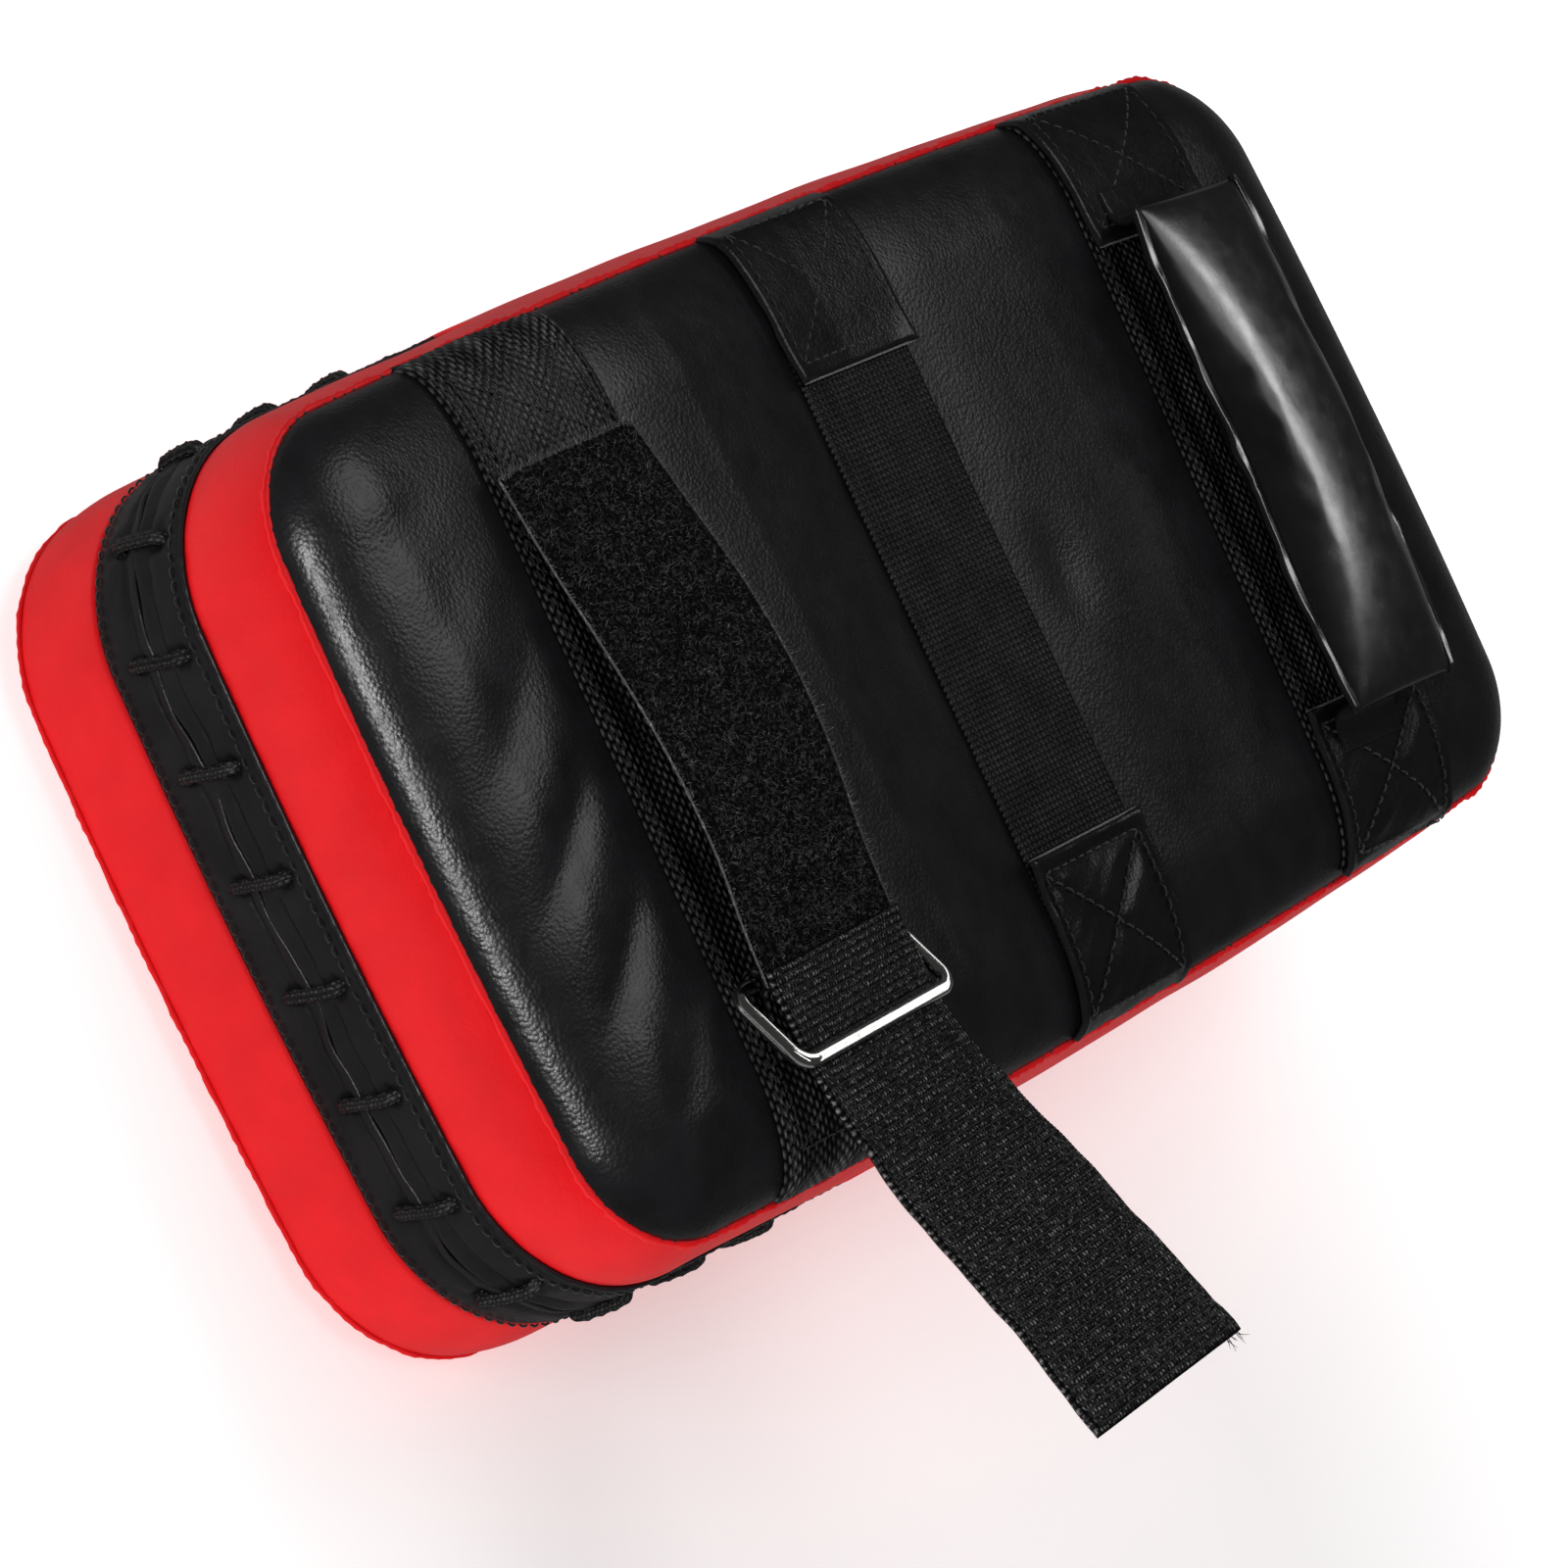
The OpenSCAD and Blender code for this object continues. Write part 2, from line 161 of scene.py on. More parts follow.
def grid_normals(grid):
    """Unit normals of a grid of points, along (row direction) x (column direction)."""
    return unit(np.cross(np.gradient(grid, axis=0), np.gradient(grid, axis=1)))


def sheet(name, middle, half, uv, relief=0.0):
    """Closed sheet round a middle surface; relief raises its upper side."""
    normals = grid_normals(middle)
    half = np.broadcast_to(half, middle.shape[:2])[..., None]
    relief = np.broadcast_to(relief, middle.shape[:2])[..., None]
    return slab(name, middle + (half + relief) * normals, middle - half * normals, uv)


def rounded_edge(distance, half, radius):
    """Half thickness of a sheet that rounds off within a radius of its edge."""
    t = np.clip(1 - distance / radius, 0, 1)
    return half * np.maximum(np.sqrt(1 - t * t), 0.12)


def lengths(points):
    """Distance travelled along a line of points."""
    steps = np.linalg.norm(np.diff(points, axis=0), axis=1)
    return np.concatenate([[0.0], np.cumsum(steps)])


def places_on(points, travelled, wanted):
    """Points at wanted distances along a line."""
    return np.stack([np.interp(wanted, travelled, column) for column in points.T], axis=-1)


def resampled(points, step):
    """The same line with points an even distance apart."""
    points = np.asarray(points, float)
    travelled = lengths(points)
    count = max(int(round(travelled[-1] / step)), 1) + 1
    return places_on(points, travelled, np.linspace(0, travelled[-1], count))


def spline(controls, steps=12):
    """Smooth line through control points."""
    p = np.asarray(controls, float)
    p = np.concatenate([[2 * p[0] - p[1]], p, [2 * p[-1] - p[-2]]])
    t = np.linspace(0, 1, steps, endpoint=False)[:, None]
    parts = []
    for a, b, c, d in zip(p[:-3], p[1:-2], p[2:-1], p[3:]):
        parts.append(0.5 * (2 * b + (c - a) * t + (2 * a - 5 * b + 4 * c - d) * t ** 2
                            + (3 * b - a - 3 * c + d) * t ** 3))
    return np.concatenate(parts + [p[-2:-1]])


def softened(points, passes=2):
    """Line with its corners cut round."""
    points = np.asarray(points, float)
    for _ in range(passes):
        near = 0.75 * points[:-1] + 0.25 * points[1:]
        far = 0.25 * points[:-1] + 0.75 * points[1:]
        middle = np.stack([near, far], axis=1).reshape(-1, points.shape[1])
        points = np.concatenate([points[:1], middle, points[-1:]])
    return points


def carried_frames(path):
    """Two directions square to a path, turning as little as possible along it."""
    tangents = unit(np.gradient(path, axis=0))
    start = np.array([0.0, 0.0, 1.0]) if abs(tangents[0][2]) < 0.9 else np.array([1.0, 0.0, 0.0])
    sideways = []
    for tangent in tangents:
        start = unit(start - (start @ tangent) * tangent)
        sideways.append(start)
    sideways = np.array(sideways)
    return sideways, np.cross(tangents, sideways)


def tube(path, radius, sides):
    """Points and faces of a closed tube; radius may differ at each (place, side)."""
    path = np.asarray(path, float)
    u, v = carried_frames(path)
    angle = np.linspace(0, 2 * math.pi, sides, endpoint=False)
    radius = np.broadcast_to(radius, (len(path), sides))[..., None]
    ring = np.cos(angle)[None, :, None] * u[:, None] + np.sin(angle)[None, :, None] * v[:, None]
    points = (path[:, None] + radius * ring).reshape(-1, 3)
    index = np.arange(len(points)).reshape(-1, sides)
    around = np.roll(index, -1, axis=1)
    quads = np.stack([index[:-1], around[:-1], around[1:], index[1:]], axis=-1)
    return points, [*quads.reshape(-1, 4).tolist(), index[0, ::-1].tolist(), index[-1].tolist()]


class Bundle:
    """Collects many small closed shapes into one mesh."""

    def __init__(self):
        self.points = []
        self.faces = []
        self.count = 0

    def add(self, points, faces):
        self.points.append(points)
        self.faces += [tuple(k + self.count for k in face) for face in faces]
        self.count += len(points)

    def mesh(self, name):
        return new_mesh(name, np.concatenate(self.points), self.faces)


STITCH_PLACES = np.array([-1.0, -0.8, -0.4, 0.0, 0.4, 0.8, 1.0])
STITCH_ROUND = np.array([0.35, 0.85, 1.0, 1.0, 1.0, 0.85, 0.35])


def stitch(bundle, start, end, normal, radius):
    """One thread stitch that dips into the cloth at both ends."""
    middle = (start + end) / 2
    reach = (end - start) / 2
    dip = radius * (1.1 - 1.6 * STITCH_PLACES ** 2)
    path = middle + STITCH_PLACES[:, None] * reach + dip[:, None] * normal
    bundle.add(*tube(path, (radius * STITCH_ROUND)[:, None], 6))


def stitch_row(bundle, path, normals, length=2.5, pitch=3.3, radius=0.3, wander=0.12):
    """Stitches along a line that lies on a surface."""
    path = np.asarray(path, float)
    travelled = lengths(path)
    count = max(int(travelled[-1] / pitch), 1)
    for k in range(count):
        start = (k + 0.5) * travelled[-1] / count - length / 2
        near, far = places_on(path, travelled, [start, start + length])
        normal = unit(places_on(normals, travelled, start))
        side = np.cross(normal, unit(far - near)) * rng.normal(0, wander)
        stitch(bundle, near + side, far - side, normal, radius)


# ---------------- outline of the pad

def line(a, b, count):
    """Points from a towards b, leaving b out."""
    a, b = np.array(a, float), np.array(b, float)
    t = np.linspace(0, 1, count, endpoint=False)[:, None]
    return a + (b - a) * t


def arc(centre, radius, start, count):
    """Quarter circle, leaving its last point out."""
    angle = np.radians(start + np.linspace(0, 90, count, endpoint=False))
    return np.array(centre) + radius * np.stack([np.cos(angle), np.sin(angle)], axis=1)


CORNER_COUNT = int(CORNER_R * math.pi / 2 / RIM_STEP)
END_COUNT = int(2 * (HALF_W - CORNER_R) / RIM_STEP)
NEAR_COUNT = int((HALF_L - CORNER_R + LACE_END_Y) / RIM_STEP)
FAR_COUNT = int((HALF_L - CORNER_R - LACE_END_Y) / RIM_STEP)


def bowed(p):
    """The sides of the pad swell outwards between its corners."""
    x = p[..., 0] + SIDE_BOW * p[..., 0] / HALF_W * (1 - (p[..., 1] / HALF_L) ** 2)
    y = p[..., 1] + END_BOW * p[..., 1] / HALF_L * (1 - (p[..., 0] / HALF_W) ** 2)
    return np.stack([x, y], axis=-1)


def flat_rim(inset, radius, part):
    """Outline before it bows, anticlockwise; near runs round the laced end, far round the grip end."""
    hw, hl = HALF_W - inset, HALF_L - inset
    halves = []
    for way, count, turn in ((-1, NEAR_COUNT, 180), (1, FAR_COUNT, 0)):
        end, side = way * (hw - radius), way * (hl - radius)
        halves.append([line((way * hw, LACE_END_Y), (way * hw, side), count),
                       arc((end, side), radius, turn, CORNER_COUNT),
                       line((end, way * hl), (-end, way * hl), END_COUNT),
                       arc((-end, side), radius, turn + 90, CORNER_COUNT),
                       line((-way * hw, side), (-way * hw, LACE_END_Y), count)])
    near, far = halves
    parts = {"near": near + [[(hw, LACE_END_Y)]], "far": far + [[(-hw, LACE_END_Y)]], "all": near + far}
    return np.concatenate(parts[part])


def rim(inset, radius, part):
    """The outline as it is, or one part of it."""
    return bowed(flat_rim(inset, radius, part))


def outward(points, closed=False):
    """Normals of an anticlockwise line in the plane."""
    along = np.gradient(points, axis=0)
    if closed:
        along = np.roll(points, -1, axis=0) - np.roll(points, 1, axis=0)
    along = unit(along)
    return np.stack([along[:, 1], -along[:, 0]], axis=1)


def wall_grid(part, insets, radii, heights, puff):
    """Grid [along, up] of points on the pad's wall; puff pushes each level outwards."""
    levels = []
    for inset, radius, z, push in zip(insets, radii, heights, puff):
        p = rim(inset, radius, part)
        p = p + push * outward(p)
        levels.append(np.concatenate([p, np.full((len(p), 1), z)], axis=1))
    return np.stack(levels, axis=1)


def wall_lengths(grid):
    """Length along and up a wall grid, for the weave and grain."""
    along = lengths(grid[:, grid.shape[1] // 2])
    up = lengths(grid[len(grid) // 2])
    return np.stack(np.meshgrid(along, up, indexing="ij"), axis=-1)


def corner_share(part):
    """1 at the middle of each rounded corner and 0 on the straight sides."""
    p = flat_rim(0, CORNER_R, part)
    over_x = np.clip((np.abs(p[:, 0]) - (HALF_W - CORNER_R)) / CORNER_R, 0, 1)
    over_y = np.clip((np.abs(p[:, 1]) - (HALF_L - CORNER_R)) / CORNER_R, 0, 1)
    return np.clip(12 * (1 - over_x) * (1 - over_y) * over_x * over_y, 0, 1)


def ripples(travelled, wavelength, seed):
    """Uneven gentle waves along a line, between about -1 and 1."""
    local = np.random.default_rng(seed)
    total = np.zeros_like(travelled)
    for octave in (0.6, 1.0, 1.7):
        phase = local.uniform(0, 2 * math.pi)
        total += np.sin(2 * math.pi * travelled * octave / wavelength + phase) / octave
    return total / 3


# ---------------- crowned arm-side panel

def rim_depth(x, y, inset, radius):
    """How far a place lies inside the pad's outline at an inset, with corners of a radius."""
    flat_x = np.abs(x) / (1 + SIDE_BOW / HALF_W * (1 - (y / HALF_L) ** 2))
    flat_y = np.abs(y) / (1 + END_BOW / HALF_L * (1 - (x / HALF_W) ** 2))
    over_x = flat_x - (HALF_W - inset - radius)
    over_y = flat_y - (HALF_L - inset - radius)
    outside = np.hypot(np.maximum(over_x, 0), np.maximum(over_y, 0))
    return radius - outside - np.minimum(np.maximum(over_x, over_y), 0)


def seam_depth(x, y):
    """How far a place on the arm side lies inside the panel's seam."""
    return rim_depth(x, y, SEAM_INSET, SEAM_CORNER_R)


# Swell and dents of the leather between the rows; the hollow's middle, half widths and depth
PANEL_SWELL = 1.2
PANEL_DENTS = 0.35
HOLLOW = (2, 37, 13, 8, 1.1)
# Height of the crown along the pad, as a share of the CAD crown: pulled down by the elastic
CROWN_SHARES = ((-180, 1.0), (-106, 1.0), (-55, 1.0), (-22, 0.72), (0, 0.66), (28, 0.74),
                (70, 0.96), (116, 1.0), (180, 1.0))


def near_row(x, y, row, width):
    """1 inside a row of webbing, fading to 0 within 20 mm of its edge."""
    centre, slant = row
    across = np.abs((y - centre) * math.cos(math.radians(slant)) - x * math.sin(math.radians(slant)))
    return np.clip(1 - (across - width / 2) / 20, 0, 1) ** 2


# Folds between the laced end and the first strap: x at FOLD_Y, lean, width, height
FOLD_Y = -150.0
FOLDS = ((-37, -0.80, 8.0, 0.45), (-20, -0.75, 6.0, -0.5), (-5, -0.72, 7.0, 0.6), (7, -0.78, 5.5, -0.8),
         (18, -0.78, 8.0, 0.6), (33, -0.85, 5.6, -0.8), (47, -0.95, 8.0, 0.6), (61, -1.00, 6.0, -0.5),
         (-66, -0.40, 7.0, -0.4))


def fold_height(x, y):
    """Folds that run from the laced end's shoulder towards the first strap."""
    start = -HALF_L + 9
    run = np.clip((y - start) / 14, 0, 1) * np.clip((STRAP_ROW[0] - WEB_W / 2 - 1 - y) / 16, 0, 1)
    total = np.zeros_like(x)
    for place, lean, width, height in FOLDS:
        away = x - place - lean * (y - FOLD_Y)
        total += height * np.exp(-(away / width) ** 2)
    return total * run


def panel_z(x, y):
    """Height of the black panel's upper side."""
    depth = np.maximum(seam_depth(x, y), 0.02)
    dome = np.sqrt(1 - np.clip(1 - depth / CROWN_ROLL, 0, 1) ** 2)
    share = np.interp(y, [p[0] for p in CROWN_SHARES], [p[1] for p in CROWN_SHARES])
    held = np.maximum.reduce([near_row(x, y, STRAP_ROW, WEB_W), near_row(x, y, BAND_ROW, BAND_W),
                              near_row(x, y, HANDLE_ROW, WEB_W)])
    free = (1 - held) * np.clip(depth / 22, 0, 1)
    dents = PANEL_DENTS * np.sin(x / 19 + y / 31) * np.sin(y / 23 - x / 47)
    middle_x, middle_y, half_x, half_y, deep = HOLLOW
    hollow = deep * np.exp(-((x - middle_x) / half_x) ** 2 - ((y - middle_y) / half_y) ** 2)
    relief = (PANEL_SWELL + dents - hollow) * free
    return BACK_SEAM_Z + CROWN * share * dome + relief + fold_height(x, y) * (depth > 1)


def on_panel(x, y, lift):
    """Points a given distance above the black panel, along its normal, and those normals."""
    step = 0.05
    slope_x = (panel_z(x + step, y) - panel_z(x - step, y)) / (2 * step)
    slope_y = (panel_z(x, y + step) - panel_z(x, y - step)) / (2 * step)
    steepest = 5.0
    slopes = [np.clip(slope, -steepest, steepest) for slope in (slope_x, slope_y)]
    normals = unit(np.stack([-slopes[0], -slopes[1], np.ones_like(x)], axis=-1))
    points = np.stack([x, y, panel_z(x, y)], axis=-1)
    return points + np.asarray(lift)[..., None] * normals, normals


def row_place(row, along, across):
    """Plan position of a place on a slanted row."""
    centre, slant = row[0], math.radians(row[1])
    x = along * math.cos(slant) - across * math.sin(slant)
    y = centre + along * math.sin(slant) + across * math.cos(slant)
    return x, y


def row_end(row, side):
    """Distance along a row at which it meets the panel's seam."""
    tries = np.linspace(60, 110, 2001)
    x, y = row_place(row, side * tries, np.zeros_like(tries))
    return side * tries[np.argmax(seam_depth(x, y) < 0.1)]


def row_stations(row, start, end, step):
    """Places along a row, an even distance apart over the crown."""
    tries = np.linspace(start, end, 4001)
    x, y = row_place(row, tries, np.zeros_like(tries))
    travelled = lengths(np.stack([x, y, panel_z(x, y)], axis=1))
    count = int(travelled[-1] / step) + 1
    even = np.linspace(0, travelled[-1], count)
    return np.interp(even, travelled, tries), even


def row_grid(row, start, end, width, lift, along_step, across_step):
    """Middle surface [across, along] of a ply that lies on the panel, and its lengths."""
    stations, travelled = row_stations(row, start, end, along_step)
    across = np.linspace(-width / 2, width / 2, int(width / across_step) + 1)
    a, b = np.meshgrid(stations, across, indexing="xy")
    x, y = row_place(row, a, b)
    seam = np.clip(seam_depth(x, y) / 3, 0, 1)
    middle, _ = on_panel(x, y, 0.3 + (lift - 0.3) * seam)
    v, u = np.meshgrid(travelled, across, indexing="xy")
    middle = middle.transpose(1, 0, 2)
    return middle, np.stack([u.T, v.T], axis=-1)


def edge_distance(uv):
    """Distance to the nearer long edge of a strap's grid."""
    return uv[..., 0].max() - np.abs(uv[..., 0])


def beads(uv, height):
    """Beads of coarse webbing, each row of them half a step out from the next."""
    u, v = uv[..., 0] / WEAVE_PITCH[0], uv[..., 1] / WEAVE_PITCH[1]
    shifted = v + 0.5 * (np.floor(u) % 2)
    return height * (np.abs(np.sin(math.pi * u)) * np.abs(np.sin(math.pi * shifted))) ** 0.7


# ---------------- materials

class Look:
    """A procedural material, built node by node. Lengths in its textures are millimetres."""

    def __init__(self, name):
        self.material = bpy.data.materials.new(name)
        self.material.use_nodes = True
        self.tree = self.material.node_tree
        self.surface = self.tree.nodes["Principled BSDF"]
        place = self.add("TexCoord")
        scale = self.add("VectorMath", {0: place.outputs["Object"], "Scale": 1 / MM}, operation="SCALE")
        self.place = scale.outputs[0]
        self.length = place.outputs["UV"]

    def add(self, kind, inputs=None, **settings):
        node = self.tree.nodes.new("ShaderNode" + kind)
        for key, value in settings.items():
            setattr(node, key, value)
        for key, value in (inputs or {}).items():
            self.put(node.inputs[key], value)
        return node

    def put(self, socket, value):
        if isinstance(value, bpy.types.NodeSocket):
            self.tree.links.new(value, socket)
        else:
            socket.default_value = value

    def math(self, operation, a, b=0.0):
        return self.add("Math", {0: a, 1: b}, operation=operation).outputs[0]

    def noise(self, size, detail=3.0, roughness=0.55, vector=None):
        """Soft noise from 0 to 1 whose blobs are about size millimetres across."""
        inputs = {"Vector": vector or self.place, "Scale": 1 / size, "Detail": detail,
                  "Roughness": roughness}
        return self.add("TexNoise", inputs).outputs[0]

    def cells(self, size):
        """Distance pattern of cells about size millimetres across."""
        return self.add("TexVoronoi", {"Vector": self.place, "Scale": 1 / size}).outputs["Distance"]

    def between(self, value, low, high, start=0.0, stop=1.0):
        """Maps start..stop of a value onto low..high."""
        inputs = {"Value": value, "From Min": start, "From Max": stop, "To Min": low, "To Max": high}
        return self.add("MapRange", inputs).outputs[0]

    def mixed(self, factor, a, b):
        """Colour between two colours."""
        return self.add("Mix", {0: factor, 6: a, 7: b}, data_type="RGBA").outputs[2]

    def bump(self, height, depth, normal=None):
        """Bump whose height is depth millimetres."""
        inputs = {"Height": height, "Distance": depth * MM, "Strength": 1.0}
        inputs |= {"Normal": normal} if normal else {}
        return self.add("Bump", inputs).outputs[0]

    def edges(self):
        """1 on sharp raised edges, where the finish wears."""
        pointed = self.add("NewGeometry").outputs["Pointiness"]
        return self.between(pointed, 0, 1, 0.53, 0.62)

    def finish(self, **inputs):
        for key, value in inputs.items():
            self.put(self.surface.inputs[key.replace("_", " ")], value)
        return self.material


def rgb(red, green, blue):
    return (red, green, blue, 1.0)


def grey(level, blue=None):
    return rgb(level, level, blue or level)


def leather(name, tones, grain, depth, gloss, crease, shine=0.4):
    """Coated leather: tones are its base, shade and wear; pebble grain, creases and uneven gloss."""
    look = Look(name)
    base, shade, wear = tones
    pebble = look.between(look.cells(grain), 1, 0, 0, 0.8)
    tone = look.noise(14, 4)
    color = look.mixed(look.between(tone, 0, 1, 0.3, 0.7), base, shade)
    color = look.mixed(look.math("MULTIPLY", look.edges(), 0.15), color, wear)
    fine = look.noise(0.35, 2)
    normal = look.bump(look.noise(7, 3), crease)
    normal = look.bump(pebble, depth, normal)
    normal = look.bump(fine, depth * 0.3, normal)
    rough = look.between(look.noise(5, 3), gloss - 0.04, gloss + 0.05, 0.3, 0.7)
    return look.finish(Base_Color=color, Roughness=rough, Normal=normal, Specular_IOR_Level=shine)


def webbing(name, base, bead_glint, pitch_u, pitch_v, depth, rough, shine, stagger=0.5, spark=None, sharp=1.2):
    """Woven tape: beads and fibres along its own lengths, with the bead tops painted lighter as glints;
    spark is the size of its glints, if any.
    """
    look = Look(name)
    parts = look.add("SeparateXYZ", {0: look.length})
    u = look.math("DIVIDE", parts.outputs[0], pitch_u)
    row = look.math("FLOOR", u)
    shift = look.math("MULTIPLY", look.math("MODULO", row, 2.0), stagger)
    v = look.math("ADD", look.math("DIVIDE", parts.outputs[1], pitch_v), shift)
    across = look.math("ABSOLUTE", look.math("SINE", look.math("MULTIPLY", u, math.pi)))
    along = look.math("ABSOLUTE", look.math("SINE", look.math("MULTIPLY", v, math.pi)))
    bead = look.math("POWER", look.math("MULTIPLY", across, along), sharp)
    fibre = look.noise(0.28, 2)
    tone = look.between(look.noise(9, 3), 0.4, 1, 0.35, 0.65)
    if spark:
        tone = look.between(look.noise(spark, 2), 0.06, 1, 0.48, 0.66)
    # painted glints: the bead tops are coloured lighter than the dark ground
    color = look.mixed(look.math("MULTIPLY", bead, tone), base, bead_glint)
    normal = look.bump(bead, depth)
    normal = look.bump(fibre, 0.08, normal)
    return look.finish(Base_Color=color, Roughness=look.between(fibre, rough - 0.08, rough + 0.1),
                       Normal=normal, Specular_IOR_Level=shine)


def thread_look(name, base, pale_fibre_and_sheen, rough):
    """Twisted sewing thread: its lighter strands are painted sheen, and on the raw edges also the paler
    fibres of the cut leather.
    """
    look = Look(name)
    strand = look.noise(0.22, 1)
    # lighter strands: painted sheen on the thread, and on raw edges partly paler fibres
    color = look.mixed(look.between(strand, 0, 1, 0.35, 0.65), base, pale_fibre_and_sheen)
    return look.finish(Base_Color=color, Roughness=rough, Normal=look.bump(strand, 0.1),
                       Sheen_Weight=0.2)


def fuzz_look(name, base, pale_fibre_and_sheen):
    """Napped loop tape: the loops are painted pale, as sheen on the fibres, against a dark ground."""
    look = Look(name)
    loops = look.between(look.noise(0.9, 3, 0.75), 0, 1, 0.48, 0.66)
    patches = look.between(look.noise(5, 3), 0.35, 1.0, 0.35, 0.65)
    # painted sheen: the loop tops are coloured pale
    color = look.mixed(look.math("MULTIPLY", loops, patches), base, pale_fibre_and_sheen)
    normal = look.bump(loops, 0.4)
    normal = look.bump(patches, 0.4, normal)
    return look.finish(Base_Color=color, Roughness=0.75, Normal=normal, Specular_IOR_Level=0.08)


def nickel_look():
    """Plated wire with faint drawing lines and small scuffs."""
    look = Look("nickel_plate")
    scuff = look.noise(1.6, 4)
    lines = look.add("Mapping", {"Vector": look.place, "Scale": (3.0, 0.15, 3.0)}).outputs[0]
    drawn = look.noise(1.2, 2, vector=lines)
    color = look.mixed(look.between(scuff, 0, 1, 0.55, 0.8), rgb(0.86, 0.85, 0.83), rgb(0.62, 0.6, 0.57))
    rough = look.between(scuff, 0.08, 0.2, 0.4, 0.75)
    return look.finish(Base_Color=color, Metallic=1.0, Roughness=rough, Normal=look.bump(drawn, 0.02))


def foam_look():
    """Open foam inside the pad."""
    look = Look("foam")
    pores = look.cells(1.6)
    # the pits of the pores are painted darker, as shade in them
    color = look.mixed(pores, rgb(0.12, 0.12, 0.13), rgb(0.28, 0.28, 0.3))
    return look.finish(Base_Color=color, Roughness=0.95, Normal=look.bump(pores, 0.5))


BLACK = grey(0.0045, 0.005)
SOFT_BLACK = grey(0.008, 0.009)
BLACKS = (BLACK, SOFT_BLACK, grey(0.05, 0.052))
REDS = (rgb(0.80, 0.006, 0.010), rgb(0.70, 0.004, 0.008), rgb(0.9, 0.12, 0.12))

# Leathers: grain size and depth, roughness, depth of creases, strength of reflections
black_leather = leather("black_leather", BLACKS, 0.95, 0.055, 0.28, 0.04)
red_leather = leather("red_leather", REDS, 0.9, 0.03, 0.36, 0.08, 0.24)
lace_leather = leather("lace_leather", BLACKS, 0.9, 0.05, 0.36, 0.08, 0.36)
patch_leather = leather("patch_leather", BLACKS, 0.8, 0.05, 0.28, 0.2)
grip_leather = leather("grip_leather", (BLACK, SOFT_BLACK, BLACK), 0.8, 0.004, 0.24, 0.06, 0.6)
# Woven tapes: ground colour and painted glint colour of the bead tops, bead pitch across and along, depth,
# roughness, reflections
web_look = webbing("coarse_webbing", grey(0.0008), grey(0.15, 0.154), 1.5, 2.6, 0.45, 0.26, 0.4, sharp=2.2)
hook_look = webbing("hook_tape", grey(0.001), grey(0.3, 0.31), *HOOK_PITCH, 0.4, 0.26, 0.3, 0.0, 0.8, 2.0)
elastic_look = webbing("ribbed_elastic", grey(0.001), grey(0.055, 0.056), 1.5, 1.5, 0.4, 0.32, 0.3, 0.0,
                       sharp=2.0)
cord_look = webbing("braided_cord", grey(0.003), grey(0.03), 1.3, 1.1, 0.25, 0.45, 0.4)
# The loop tops, the nap hairs and the edge cords are painted pale, as sheen on black fibres
loop_look = fuzz_look("loop_tape", grey(0.0015), grey(0.08))
nap_look = fuzz_look("loop_tape_nap", grey(0.09), grey(0.5))
black_thread = thread_look("black_thread", grey(0.003), grey(0.022), 0.32)
raw_look = thread_look("raw_leather_edge", grey(0.03), grey(0.2), 0.6)
lining_look = webbing("lining", grey(0.01, 0.011), grey(0.02), 0.8, 0.8, 0.1, 0.85, 0.2)
nickel = nickel_look()
foam = foam_look()


def dress(piece, material, body="pad", replaces=()):
    """Gives a piece its finish and body, and hides the CAD nodes it stands for."""
    piece.data.materials.clear()
    piece.data.materials.append(material)
    if body:
        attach(piece, body)
    if replaces:
        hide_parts(*replaces)
    return piece


# ---------------- pad body

def panel_rows(inset, radius):
    """Plan grid [row, column] that fills the outline at an inset."""
    hw, hl = HALF_W - inset, HALF_L - inset
    straight = hl - radius
    bend = np.radians(np.linspace(90, 0, 24, endpoint=False))
    ends_y = straight + radius * np.sin(bend)
    ends_w = hw - radius + radius * np.cos(bend)
    middle_y = np.linspace(-straight, straight, int(2 * straight / 1.3))
    y = np.concatenate([-ends_y, middle_y, ends_y[::-1]])
    w = np.concatenate([ends_w, np.full(len(middle_y), hw), ends_w[::-1]])
    bent = np.sin(np.linspace(-1, 1, 150) * math.pi / 2)
    column = 0.45 * bent + 0.55 * np.linspace(-1, 1, 150)
    flat = np.stack([w[:, None] * column[None], np.repeat(y[:, None], len(column), axis=1)], axis=-1)
    return bowed(flat)


def make_back_panel():
    """Crowned black leather on the arm side, and the foam right under it."""
    plan = panel_rows(SEAM_INSET, SEAM_CORNER_R)
    x, y = plan[..., 0], plan[..., 1]
    surface = np.stack([x, y, panel_z(x, y)], axis=-1).transpose(1, 0, 2)
    uv = plan.transpose(1, 0, 2)
    panel = sheet("leather_back_panel", surface - [0, 0, SKIN / 2], SKIN / 2, uv)
    dress(panel, black_leather, replaces=("back_panel",))
    top = np.stack([x * 0.95, y * 0.97, panel_z(x, y) - 3.2], axis=-1).transpose(1, 0, 2)
    bottom = top.copy()
    bottom[..., 2] = box_mm("foam_back")[0][2]
    core = slab("foam_back_block", top[::3, ::3], bottom[::3, ::3])
    dress(core, foam, replaces=("foam_back",))


def make_strike_panel():
    """Red leather strike face: rolled at its edge, flat where it rests."""
    plan = panel_rows(0, CORNER_R)
    x, y = plan[..., 0], plan[..., 1]
    depth = np.clip(rim_depth(x, y, 0, CORNER_R), 0.0, STRIKE_ROLL)
    z = FRONT_SEAM_Z * (1 - np.sqrt(1 - (1 - depth / STRIKE_ROLL) ** 2))
    surface = np.stack([x, y, z], axis=-1)
    panel = sheet("leather_strike_panel", surface + [0, 0, SKIN / 2], SKIN / 2, plan)
    dress(panel, red_leather, replaces=("strike_panel",))


